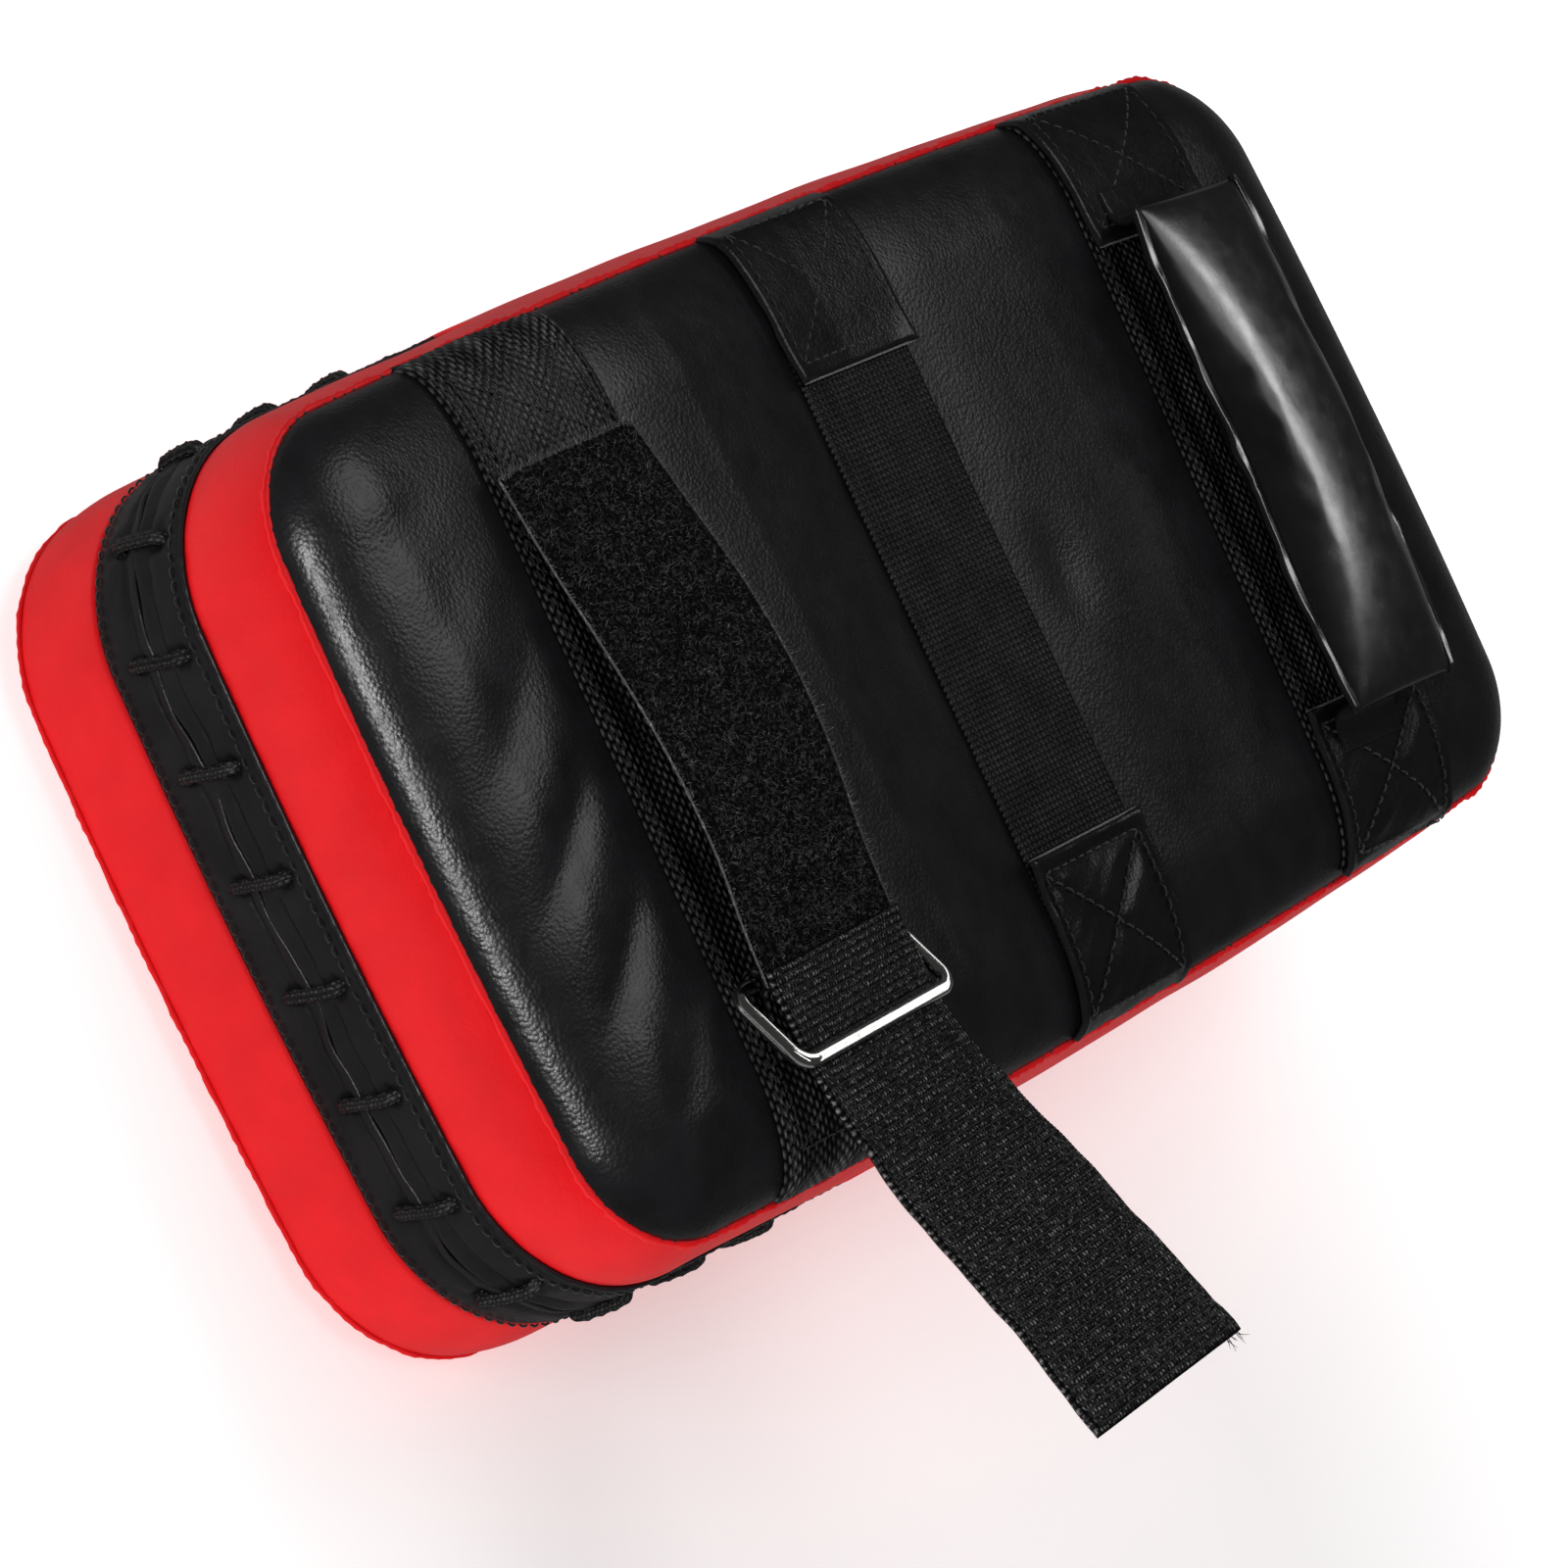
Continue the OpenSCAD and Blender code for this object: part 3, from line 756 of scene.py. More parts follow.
def band(name, part, insets, radii, heights, puff, node):
    """Red leather band with soft creases in the corners."""
    grid = wall_grid(part, insets, radii, heights, puff)
    uv = wall_lengths(grid)
    up = uv[..., 1] / uv[..., 1].max()
    arch = np.sin(math.pi * up)
    wave = ripples(uv[..., 0] + 5 * up, 11, len(name)) * corner_share(part)[:, None] * 0.35 * arch
    wave += ripples(uv[..., 0], 60, 3 + len(name)) * 0.3 * arch
    grid = grid + (wave[..., None] - SKIN / 2) * grid_normals(grid)
    piece = sheet(name, grid, SKIN / 2, uv)
    return dress(piece, red_leather, replaces=node)


def leaning(levels):
    """Insets, radii, heights and puff of the band that leans in to the arm-side seam."""
    t = np.linspace(0, 1, levels)
    heights = LACE_HIGH_Z + (BACK_SEAM_Z - LACE_HIGH_Z) * t
    insets = SEAM_INSET * t ** 1.6
    radii = CORNER_R + (SEAM_CORNER_R - CORNER_R) * t
    puff = 1.3 * np.sin(math.pi * t ** 1.2) ** 0.8
    return insets, radii, heights, puff


def upright(low, high, levels, bulge):
    """The same for an upright band."""
    t = np.linspace(0, 1, levels)
    heights = low + (high - low) * t
    return np.zeros(levels), np.full(levels, CORNER_R), heights, bulge * np.sin(math.pi * t) ** 0.7


def make_bands():
    """Two bands beside the lacing, and one full-height band round the grip end."""
    band("red_band_front", "near", *upright(FRONT_SEAM_Z, LACE_LOW_Z, 20, 1.6), ("side_band_front",))
    band("red_band_back", "near", *leaning(20), ("side_band_back",))
    lower = upright(FRONT_SEAM_Z, LACE_HIGH_Z, 34, 1.6)
    upper = leaning(20)
    joined = [np.concatenate([a[:-1], b]) for a, b in zip(lower, upper)]
    joined[3] = 1.8 * np.sin(math.pi * np.linspace(0, 1, len(joined[0]))) ** 0.7
    band("red_band_far", "far", *joined, ("side_band_far",))


def rim_path(inset, radius, z, part, push=0.0):
    """Line round the pad at one height, with its outward normals."""
    p = rim(inset, radius, part)
    n = outward(p, part == "all")
    p = p + push * n
    return (np.concatenate([p, np.full((len(p), 1), z)], axis=1),
            np.concatenate([n, np.zeros((len(p), 1))], axis=1))


def lip(name, path, normals, rise, reach, material, closed):
    """Narrow folded edge of leather that stands out along a seam."""
    travelled = lengths(path)
    wave = 1 + 0.16 * ripples(travelled, 9, len(path)) + 0.10 * np.cos(2 * math.pi * travelled / 3.2)
    section = np.radians(np.linspace(0, 360, 10, endpoint=False))
    out = reach * (0.5 + 0.5 * np.cos(section))
    up = rise * 0.5 * np.sin(section)
    grid = path[:, None] + (wave[:, None] * out[None])[..., None] * normals[:, None]
    grid[..., 2] += wave[:, None] * up[None]
    rows, columns = grid.shape[:2]
    index = np.arange(rows * columns).reshape(rows, columns)
    index = np.concatenate([index, index[:, :1]], axis=1)
    if closed:
        index = np.concatenate([index, index[:1]])
    quads = np.stack([index[:-1, :-1], index[1:, :-1], index[1:, 1:], index[:-1, 1:]], axis=-1)
    faces = quads.reshape(-1, 4).tolist()
    if not closed:
        faces += [index[0, :-1].tolist(), index[-1, -2::-1].tolist()]
    return dress(new_mesh(name, grid.reshape(-1, 3), faces), material)


def make_seams():
    """Red lips along the two long seams, and stitches along the arm-side seam."""
    path, normals = rim_path(SEAM_INSET, SEAM_CORNER_R, BACK_SEAM_Z + 0.3, "all", -0.4)
    lip("seam_lip_back", path, normals, 1.7, 1.9, red_leather, True)
    path, normals = rim_path(0, CORNER_R, FRONT_SEAM_Z, "all", -0.4)
    lip("seam_lip_front", path, normals, 1.3, 1.3, red_leather, True)
    threads = Bundle()
    path, normals = rim_path(SEAM_INSET, SEAM_CORNER_R, BACK_SEAM_Z + 0.7, "all", 0.25)
    stitch_row(threads, path, unit(normals + [0, 0, 1.4]), 1.7, 3.2, 0.26)
    dress(threads.mesh("seam_threads"), black_thread)


# ---------------- lacing

def lace_frame():
    """Flat distance from the middle of the laced end, points and normals along the near outline."""
    flat = flat_rim(0, CORNER_R, "near")
    travelled = lengths(flat)
    points = bowed(flat)
    return travelled - travelled[-1] / 2, points, outward(points)


LACE_S, LACE_P, LACE_N = lace_frame()
BARS = [(k + 0.5) * LACE_PITCH for k in range(-BARS_EACH_SIDE, BARS_EACH_SIDE)]


def lace_points(s, out, z):
    """Points on the lace band at distance s from the middle of the end."""
    s, out, z = np.broadcast_arrays(np.asarray(s, float), out, z)
    place = places_on(LACE_P, LACE_S, s) + out[..., None] * unit(places_on(LACE_N, LACE_S, s))
    return np.concatenate([place, z[..., None]], axis=-1)


def pucker(s, z, hole_z, lean):
    """Dimple and radiating pleats round every hole in one strip."""
    total = np.zeros_like(s)
    for bar in BARS:
        ds, dz = s - bar - lean, z - hole_z
        away = np.hypot(ds, dz)
        angle = np.arctan2(dz, ds)
        total -= 1.8 * np.exp(-(away / 2.3) ** 2)
        total += 0.45 * np.exp(-((away - 3.6) / 2.6) ** 2)
        total += 0.13 * np.cos(5 * angle + bar) * np.exp(-((away - 4) / 3) ** 2)
    return total


def make_strip(name, low, high, hole_z, lean, slit_above, node):
    """One lace strip: its hem follows the slit, and the cord pulls it in at the holes."""
    s = np.arange(LACE_S[0], LACE_S[-1] + 0.4, 0.8)
    t = np.linspace(0, 1, 30)
    t = t ** 0.8 if slit_above else 1 - (1 - t) ** 0.8
    phase = (s - BARS[0] - LACE_LEAN / 2) / LACE_PITCH
    gape = 0.3 * np.sin(math.pi * phase) ** 2 + 0.3 * ripples(s, 17, 40)
    level, place = np.meshgrid(t, s, indexing="xy")
    to_slit = level if slit_above else 1 - level
    z = low + (high - low) * level
    shift = (ripples(s, 26, 41) * 1.2)[:, None] * to_slit ** 2
    z = z + shift - gape[:, None] * to_slit ** 3 * (1 if slit_above else -1)
    lift = np.sin(math.pi * np.clip(level, 0, 1)) ** 0.7
    from_slit = (1 - to_slit) * (high - low)
    hem = 1.1 * np.exp(-(from_slit / 1.6) ** 2) - 0.55 * np.exp(-((from_slit - 3.4) / 0.9) ** 2)
    raise_between = 0.35 * (np.sin(math.pi * phase) ** 2)[:, None] * to_slit ** 2
    waves = 0.12 * ripples(place + 2 * z, 12, 5) * to_slit
    out = lift + hem + raise_between + waves + pucker(place, z, hole_z, lean)
    middle = lace_points(place, out - 0.8, z)
    uv = np.stack([place, z], axis=-1)
    piece = sheet(name, middle, 0.7, uv)
    return dress(piece, lace_leather, replaces=node)


def make_lace_strips():
    """Both lace strips, the stitches along their outer edges, and the piping over them."""
    make_strip("lace_strip_front_leather", LACE_LOW_Z, SLIT_Z - 0.2, HOLE_LOW_Z, 0.0, True,
               ("lace_strip_front",))
    make_strip("lace_strip_back_leather", SLIT_Z + 0.2, LACE_HIGH_Z, HOLE_HIGH_Z, LACE_LEAN, False,
               ("lace_strip_back",))
    threads = Bundle()
    s = np.arange(LACE_S[0] + 2, LACE_S[-1] - 2, 1.0)
    normals = lace_points(s, 1.0, 0.0) - lace_points(s, 0.0, 0.0)
    for z in (LACE_LOW_Z + 2, LACE_HIGH_Z - 3):
        stitch_row(threads, lace_points(s, 0.9, z), normals, 2.3, 3.2, 0.3)
    dress(threads.mesh("lace_strip_threads"), black_thread)
    piping = lace_points(s, 0.1, LACE_HIGH_Z)
    lip("lace_piping", piping, normals, 1.4, 1.2, lace_leather, False)


def lace_path():
    """The cord: outside up each bar, then inside to the next low hole."""
    inside = -3.8
    points = []
    for s in BARS:
        high = s + LACE_LEAN
        stations = ((s, inside, HOLE_LOW_Z - 0.3), (s, 1.4, HOLE_LOW_Z - 0.6),
                    (s + 0.3, 2.0, HOLE_LOW_Z + 2.2), (high - 0.3, 2.2, HOLE_HIGH_Z - 2.2),
                    (high, 1.4, HOLE_HIGH_Z + 0.6), (high, inside, HOLE_HIGH_Z + 0.3))
        points += [lace_points(*station) for station in stations]
        for share in (1 / 3, 2 / 3):
            if s != BARS[-1]:
                low = high + (s + LACE_PITCH - high) * share
                points.append(lace_points(low, inside, HOLE_HIGH_Z + (HOLE_LOW_Z - HOLE_HIGH_Z) * share))
    return resampled(softened(np.array(points), 3), 0.35)


def make_cord():
    """Braided cord: two sets of strands that pass over and under each other."""
    path = lace_path()
    sides, strands, lay = 24, 4, 3.4
    travelled = lengths(path)[:, None]
    around = np.arange(sides)[None] / sides
    p = strands * around + travelled / lay
    q = strands * around - travelled / lay
    over = 0.5 + 0.5 * np.cos(math.pi * (p + q)) * np.cos(2 * math.pi * travelled / lay)
    relief = np.maximum(np.abs(np.sin(math.pi * p)) * (0.45 + 0.55 * over),
                        np.abs(np.sin(math.pi * q)) * (1.0 - 0.55 * over))
    points, faces = tube(path, 1.05 + 0.65 * relief, sides)
    uv = np.stack(np.broadcast_arrays(around * 11, travelled), axis=-1).reshape(-1, 2)
    cord = new_mesh("lace_cord_braid", points, faces, uv)
    dress(cord, cord_look, replaces=("lace_cord",))


# ---------------- webbing rows

def make_web(name, row, width, thick, node):
    """Coarse webbing sewn across the panel from seam to seam, with its real weave."""
    start, end = row_end(row, -1), row_end(row, 1)
    middle, uv = row_grid(row, start, end, width, PLY_GAP + thick / 2, 0.6, 0.43)
    edge = edge_distance(uv)
    selvedge = np.clip((edge - 1.8) / 1.0, 0, 1)
    relief = beads(uv, 0.34) * (0.35 + 0.65 * selvedge)
    half = rounded_edge(edge, thick / 2, 0.9)
    piece = sheet(name, middle, half, uv, relief - 0.15)
    return dress(piece, web_look, replaces=node)


def row_line(row, along, across, lift):
    """Line on a row, from lists of places along and across it."""
    points = resampled(np.stack([along, across], axis=1), 1.0)
    x, y = row_place(row, points[:, 0], points[:, 1])
    return on_panel(x, y, np.full(len(points), float(lift)))


def row_stitches(bundle, row, along, across, lift, **sizes):
    """Stitches along a line on a row."""
    path, normals = row_line(row, np.asarray(along, float), np.asarray(across, float), lift)
    stitch_row(bundle, path, normals, **sizes)


def box_cross(bundle, row, near, far, half, lift, **sizes):
    """A sewn box with a cross in it."""
    row_stitches(bundle, row, [near, far, far, near, near], [-half, -half, half, half, -half], lift, **sizes)
    row_stitches(bundle, row, [near, far], [-half, half], lift, **sizes)
    row_stitches(bundle, row, [near, far], [half, -half], lift, **sizes)


def make_web_threads():
    """Stitches that hold both rows of coarse webbing, and a sewn box near each end of the strap's row."""
    threads = Bundle()
    top = PLY_GAP + WEB_T + 0.15
    sizes = {"length": 2.3, "pitch": 3.2, "radius": 0.2}
    for across in (-WEB_W / 2 + 1.6, -WEB_W / 2 + 3.0, WEB_W / 2 - 1.8):
        for row, reach in ((STRAP_ROW, 90), (HANDLE_ROW, 56)):
            row_stitches(threads, row, [-reach, reach], [across, across], top, **sizes)
    for side in (-1, 1):
        box_cross(threads, STRAP_ROW, side * 86, side * 64, 18, top, length=2.4, pitch=3.0, radius=0.24)
    dress(threads.mesh("webbing_threads"), black_thread)


def make_elastic():
    """Elastic from patch to patch, with its ribs and a slight unevenness."""
    middle, uv = row_grid(BAND_ROW, -78.0, 78.0, BAND_W, PLY_GAP + BAND_T / 2, 1.0, 0.5)
    relief = 0.1 * np.cos(math.pi * uv[..., 0]) + 0.05 * ripples(uv[..., 1], 45, 9)
    half = rounded_edge(edge_distance(uv), BAND_T / 2, 0.8)
    piece = sheet("elastic_ribbed_band", middle, half, uv, relief)
    dress(piece, elastic_look, replaces=("elastic_band",))


def distance_to_box(a, b, corners):
    """Distance from places (a, b) to the nearest side or diagonal of a box."""
    best = np.full(a.shape, np.inf)
    for (a0, b0), (a1, b1) in combinations(corners, 2):
        da, db = a1 - a0, b1 - b0
        t = np.clip(((a - a0) * da + (b - b0) * db) / (da * da + db * db), 0, 1)
        best = np.minimum(best, np.hypot(a - a0 - t * da, b - b0 - t * db))
    return best


def make_patch(name, row, side, inner, width, under, node, threads, raw_edges):
    """Leather patch sewn over the end of a row with a box and a cross."""
    outer = row_end(row, side)
    middle, uv = row_grid(row, side * inner, outer, width, under + PATCH_T / 2, 0.8, 0.8)
    half_box = width / 2 - 3.6
    near, far = inner + 4.0, abs(outer) - 3.0
    b, inner_edge = uv[..., 0], uv[..., 1]
    a = np.abs(np.interp(inner_edge, uv[:, 0, 1], row_stations(row, side * inner, outer, 0.8)[0]))
    corners = ((near, -half_box), (far, -half_box), (far, half_box), (near, half_box))
    away = distance_to_box(a, b, corners)
    puffs = 0.55 * (1 - np.exp(-(away / 2.6) ** 2)) - 0.35
    edge = np.minimum(edge_distance(uv), inner_edge)
    hem = 0.35 * np.exp(-(edge - 1.2) ** 2)
    creases = 0.22 * ripples(inner_edge + 0.7 * b, 8, len(name)) * np.clip(away / 3, 0, 1)
    corner_lift = np.exp(-((width / 2 - np.abs(b)) / 5) ** 2) * np.exp(-(inner_edge / 6) ** 2)
    middle = middle + side * corner_lift[..., None] * grid_normals(middle)
    piece = sheet(name, middle, rounded_edge(edge, PATCH_T / 2, 0.8), uv, puffs + hem + creases)
    dress(piece, patch_leather, replaces=node)
    top, reach = under + PATCH_T, width / 2 - 0.8
    cut_edge, _ = row_line(row, np.array([inner, inner]) * side, np.array([-reach, reach]), top - 0.1)
    raw_edges.add(*tube(cut_edge, 0.28, 6))
    sizes = {"length": 2.5, "pitch": 3.3, "radius": 0.26}
    box_cross(threads, row, side * near, side * far, half_box, top - 0.05, **sizes)


def make_patches():
    """The four patches, the threads through them and their pale cut edges."""
    threads, raw_edges = Bundle(), Bundle()
    band_top = 2 * PLY_GAP + BAND_T
    web_top = 2 * PLY_GAP + WEB_T
    rows = (("band_patch_", BAND_ROW, 57.0, 44.0, band_top),
            ("handle_patch_", HANDLE_ROW, 58.0, 47.0, web_top))
    for side, name in ((-1, "left"), (1, "right")):
        for kind, row, inner, width, under in rows:
            make_patch(kind + "leather_" + name, row, side, inner, width, under, (kind + name,),
                       threads, raw_edges)
    dress(threads.mesh("patch_threads"), black_thread)
    dress(raw_edges.mesh("patch_raw_edges"), raw_look)


# ---------------- adjustable strap

# Edges of the strap as control points (x, y, z): the edge nearer the laced end, then the far one
LOOP_NEAR = ((-64, -128, 99.2), (-44, -128, 101.6), (-22, -128, 105.2), (0, -128, 107.9),
             (22, -128, 108.2), (40, -128, 106.0), (53, -128, 105.0))
LOOP_FAR = ((-64, -82, 99.0), (-44, -82, 103.6), (-24, -82, 108.0), (-3, -82, 110.2),
            (15, -82, 109.4), (34, -82, 106.6), (53, -82, 105.2))
HOOK_NEAR = ((50, -128.0, 106.8), (60, -128.0, 106.6), (70, -128.2, 106.4), (84, -127.4, 107.8),
             (101, -126.0, 110.4), (118, -124.2, 114.4), (134, -122.4, 119.0), (150, -121.0, 122.6),
             (164, -119.6, 125.2))
HOOK_FAR = ((50, -82.0, 106.8), (60, -82.0, 106.6), (70, -82.2, 106.4), (82, -81.2, 108.6),
            (96, -80.0, 113.0), (112, -78.6, 119.0), (130, -77.2, 125.0), (146, -76.0, 130.4),
            (160, -74.8, 134.6))
# Thickness of both tapes, and how many hairs the loop tape's nap has
LOOP_T = 1.7
HOOK_T = 2.2
NAP_HAIRS = 5200


def strap_grid(near, far, along_step, across_step):
    """Grid [across, along] between two edges, with lengths in millimetres."""
    near_line, far_line = spline(near), spline(far)
    count = int(lengths((near_line + far_line) / 2)[-1] / along_step) + 1
    even = np.linspace(0, 1, count)
    lines = [places_on(edge, lengths(edge), even * lengths(edge)[-1]) for edge in (near_line, far_line)]
    width = np.linalg.norm(lines[1][0] - lines[0][0])
    share = np.linspace(0, 1, int(width / across_step) + 1)
    grid = lines[0][:, None] * (1 - share)[None, :, None] + lines[1][:, None] * share[None, :, None]
    return grid, uv_grid(lengths((lines[0] + lines[1]) / 2), (share - 0.5) * width)


def fibre(bundle, root, normal, reach, bend, radius):
    """One short bent hair."""
    t = np.linspace(0, 1, 4)[:, None]
    path = root + normal * reach * t + bend * t ** 2
    bundle.add(*tube(path, np.array([1.0, 0.9, 0.7, 0.3])[:, None] * radius, 3))


def fray(bundle, rows, normals, count, reach):
    """Short loose threads along an edge: rows are the edge and two lines inside it."""
    for k in range(1, rows.shape[1] - 1):
        out = unit(rows[0, k] - rows[2, k]) + 0.5 * normals[k]
        for _ in range(count):
            root = rows[1, k] + normals[k] * rng.uniform(0.2, 1.0)
            fibre(bundle, root, out, rng.uniform(0.5, 1.0) * reach, rng.normal(0, 0.45, 3), 0.17)


def make_loop_strap():
    """Fuzzy loop tape over the pad, with flat selvedges and a cut end."""
    grid, uv = strap_grid(LOOP_NEAR, LOOP_FAR, 0.8, 0.8)
    edge = edge_distance(uv)
    nap = np.clip((edge - 3.0) / 1.2, 0, 1)
    wave = 0.5 * ripples(uv[..., 1], 70, 2) * np.cos(uv[..., 0] / 14)
    grid = grid + wave[..., None] * grid_normals(grid)
    lumps = 0.25 * ripples(uv[..., 1] * 3 + uv[..., 0] * 5, 4, 4) * nap
    half = rounded_edge(edge, LOOP_T / 2, 0.7)
    strap = sheet("loop_tape_strap", grid, half, uv, 0.45 * nap + lumps)
    dress(strap, loop_look, "strap", ("loop_strap",))
    hairs = Bundle()
    normals = grid_normals(grid)
    for _ in range(NAP_HAIRS):
        i, j = rng.integers(2, grid.shape[0] - 2), rng.integers(4, grid.shape[1] - 4)
        bend = rng.normal(0, 0.55, 3)
        fibre(hairs, grid[i, j] + normals[i, j] * 1.0, normals[i, j], rng.uniform(0.3, 0.9), bend, 0.08)
    for path, rise in ((grid[:, 0], normals[:, 0]), (grid[:, -1], normals[:, -1]), (grid[0], normals[0])):
        cord = resampled(path + 0.45 * rise, 0.8)
        hairs.add(*tube(cord, (0.3 + 0.1 * ripples(lengths(cord), 2, 7))[:, None], 6))
    fray(hairs, grid[:3], normals[0], 4, 2.4)
    fray(hairs, grid[:, :3].transpose(1, 0, 2), normals[:, 0], 1, 0.9)
    fray(hairs, grid[:, -1:-4:-1].transpose(1, 0, 2), normals[:, -1], 2, 1.8)
    dress(hairs.mesh("loop_tape_nap"), nap_look, "strap")


def make_hook_strap():
    """Hook tape through the ring, down to its folded end."""
    grid, uv = strap_grid(HOOK_NEAR, HOOK_FAR, 0.45, 0.46)
    edge = edge_distance(uv)
    u, v = uv[..., 0] / HOOK_PITCH[0], uv[..., 1] / HOOK_PITCH[1]
    length = uv[..., 1].max()
    selvedge = np.clip((edge - 3.3) / 0.7, 0, 1)
    ridge = np.sin(math.pi * v) ** 2
    dots = 0.6 + 0.4 * np.sin(math.pi * u) ** 2
    ribs = 0.5 + 0.5 * np.cos(4 * math.pi * v)
    hem = np.exp(-((uv[..., 1] - (length - 4)) / 3.4) ** 4)
    tuft = rng.uniform(0.55, 1.0, (int(length / HOOK_PITCH[1]) + 2, int(WEB_W / HOOK_PITCH[0]) + 4))
    dots *= tuft[v.astype(int), (u + WEB_W / 2 / HOOK_PITCH[0] + 1).astype(int)]
    relief = 0.55 * ridge * dots * selvedge + 0.2 * ribs * (1 - selvedge) + 0.7 * hem
    wave = 0.45 * ripples(uv[..., 1], 15, 6) * np.clip(1 - edge / 6, 0, 1)
    half = rounded_edge(edge, HOOK_T / 2, 0.9)
    grid = grid + wave[..., None] * grid_normals(grid)
    strap = sheet("hook_tape_strap", grid, half, uv, relief)
    dress(strap, hook_look, None, ("hook_strap_root", "hook_strap_tail"))
    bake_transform(strap)
    make_hook_threads(grid)


def make_hook_threads(grid):
    """Hem stitches and a few frayed threads at the end of the hook tape."""
    normals = grid_normals(grid)
    threads = Bundle()
    for back in (14, 17):
        stitch_row(threads, grid[-back, 6:-6] + normals[-back, 6:-6] * 1.4, normals[-back, 6:-6],
                   2.2, 2.8, 0.28)
    along = unit(grid[-1] - grid[-6])
    for _ in range(9):
        j = rng.integers(-10, -1)
        fibre(threads, grid[-1, j], along[j], rng.uniform(0.8, 2.6), rng.normal(0, 0.8, 3), 0.12)
    dress(threads.mesh("hook_tape_threads"), black_thread, "tail")


def make_anchor_loop():
    """Webbing folded round the ring's anchored bar and sewn down beside it."""
    lo, hi = box_mm("ring_anchor_loop")
    thick = 1.2
    radius = (hi[2] - lo[2]) / 2
    r = radius - thick / 2
    turn = np.radians(np.linspace(-90, -330, 40))
    loop = np.stack([lo[0] + radius + r * np.cos(turn), lo[2] + radius + r * np.sin(turn)], axis=1)
    sewn_end = hi[0] + 6
    back = [(hi[0] - 1, lo[2] + 2.2 * thick), (sewn_end, lo[2] + 1.9 * thick)]
    path = np.concatenate([[(sewn_end, lo[2] + thick / 2)], loop, back])
    path = resampled(softened(path), 0.5)
    across = np.linspace(lo[1], hi[1], 70)
    x, y = np.meshgrid(path[:, 0], across, indexing="ij")
    grid = np.stack([x, y, np.broadcast_to(path[:, 1:], x.shape)], axis=-1)
    uv = uv_grid(lengths(path), across)
    half = rounded_edge(edge_distance(uv - [across.mean(), 0]), thick / 2, 0.7)
    relief = beads(uv, 0.25)
    piece = sheet("anchor_loop_webbing", grid, half, uv, relief - 0.1)
    dress(piece, web_look, replaces=("ring_anchor_loop",))


# ---------------- grip

def pillow(length, width, step, swell):
    """Pillow of two sheets that share their edge: points, faces and point numbers of the upper sheet."""
    nx, ny = int(length / step) + 1, int(width / step) + 1
    xs, ys = np.linspace(-length / 2, length / 2, nx), np.linspace(-width / 2, width / 2, ny)
    x, y = np.meshgrid(xs, ys, indexing="ij")
    y = y * (1 - GRIP_TAPER * (2 * np.abs(x) / length) ** 3)
    rise = swell * np.sqrt(np.clip(np.cos(math.pi * x / length) * np.cos(math.pi * ys / width)[None], 0, 1))
    top = np.stack([x, y, rise], axis=-1).reshape(-1, 3)
    number = np.arange(nx * ny).reshape(nx, ny)
    below, inner = number.copy(), number[1:-1, 1:-1]
    below[1:-1, 1:-1] = nx * ny + np.arange(inner.size).reshape(inner.shape)
    points = np.concatenate([top, top[inner.ravel()] * [1, 1, -1]])
    quads = grid_faces(nx, ny)
    return points, np.concatenate([quads, below.ravel()[quads][:, ::-1]]).tolist(), number


def puff(piece, frames):
    """Swells a closed mesh with cloth pressure and gives its points in millimetres."""
    cloth = piece.modifiers.new("puff", "CLOTH")
    settings = cloth.settings
    settings.quality = 6
    settings.mass = 0.25
    settings.tension_stiffness = settings.compression_stiffness = GRIP_STIFFNESS
    settings.shear_stiffness = GRIP_STIFFNESS / 2
    settings.bending_stiffness = 4.0
    settings.use_pressure = True
    settings.uniform_pressure_force = GRIP_PRESSURE
    settings.effector_weights.gravity = 0
    cloth.point_cache.frame_start = 1
    cloth.point_cache.frame_end = frames
    scene = bpy.context.scene
    for k in range(1, frames + 1):
        scene.frame_set(k)
    swollen = piece.evaluated_get(bpy.context.evaluated_depsgraph_get()).data
    moved = np.array([v.co for v in swollen.vertices])
    piece.modifiers.remove(cloth)
    scene.frame_set(1)
    return moved / MM


# The grip lies flat before it is swollen; its ends taper and it keeps a share of the creases
GRIP_L = 127.0
GRIP_FLAT_W = 54.0
GRIP_TAPER = 0.15
GRIP_PRESSURE = 32.0
GRIP_STIFFNESS = 22.0
GRIP_ROLL = (1, 0.78, 2.6)
GRIP_CREASING = 0.4
GRIP_REACH = 16.0


def grip_shape():
    """The swollen grip about its own centre: an even roll, creased as the simulation creases it."""
    points, faces, number = pillow(GRIP_L, GRIP_FLAT_W, 2.0, 5.0)
    even = points * GRIP_ROLL
    moved = even
    draft = new_mesh("grip_draft", points, faces)
    swollen = puff(draft, 20)
    bpy.data.objects.remove(draft)
    moved = even + GRIP_CREASING * (swollen - even)
    return points + np.clip(moved - points, -GRIP_REACH, GRIP_REACH), faces, number


def grip_place(points):
    """Moves grip points from their own centre to the handle row."""
    lo, hi = box_mm("handle_cover")
    slant = math.radians(HANDLE_ROW[1])
    cos, sin = math.cos(slant), math.sin(slant)
    turn = np.array([[cos, sin, 0], [-sin, cos, 0], [0, 0, 1]])
    return points @ turn + (lo + hi) / 2


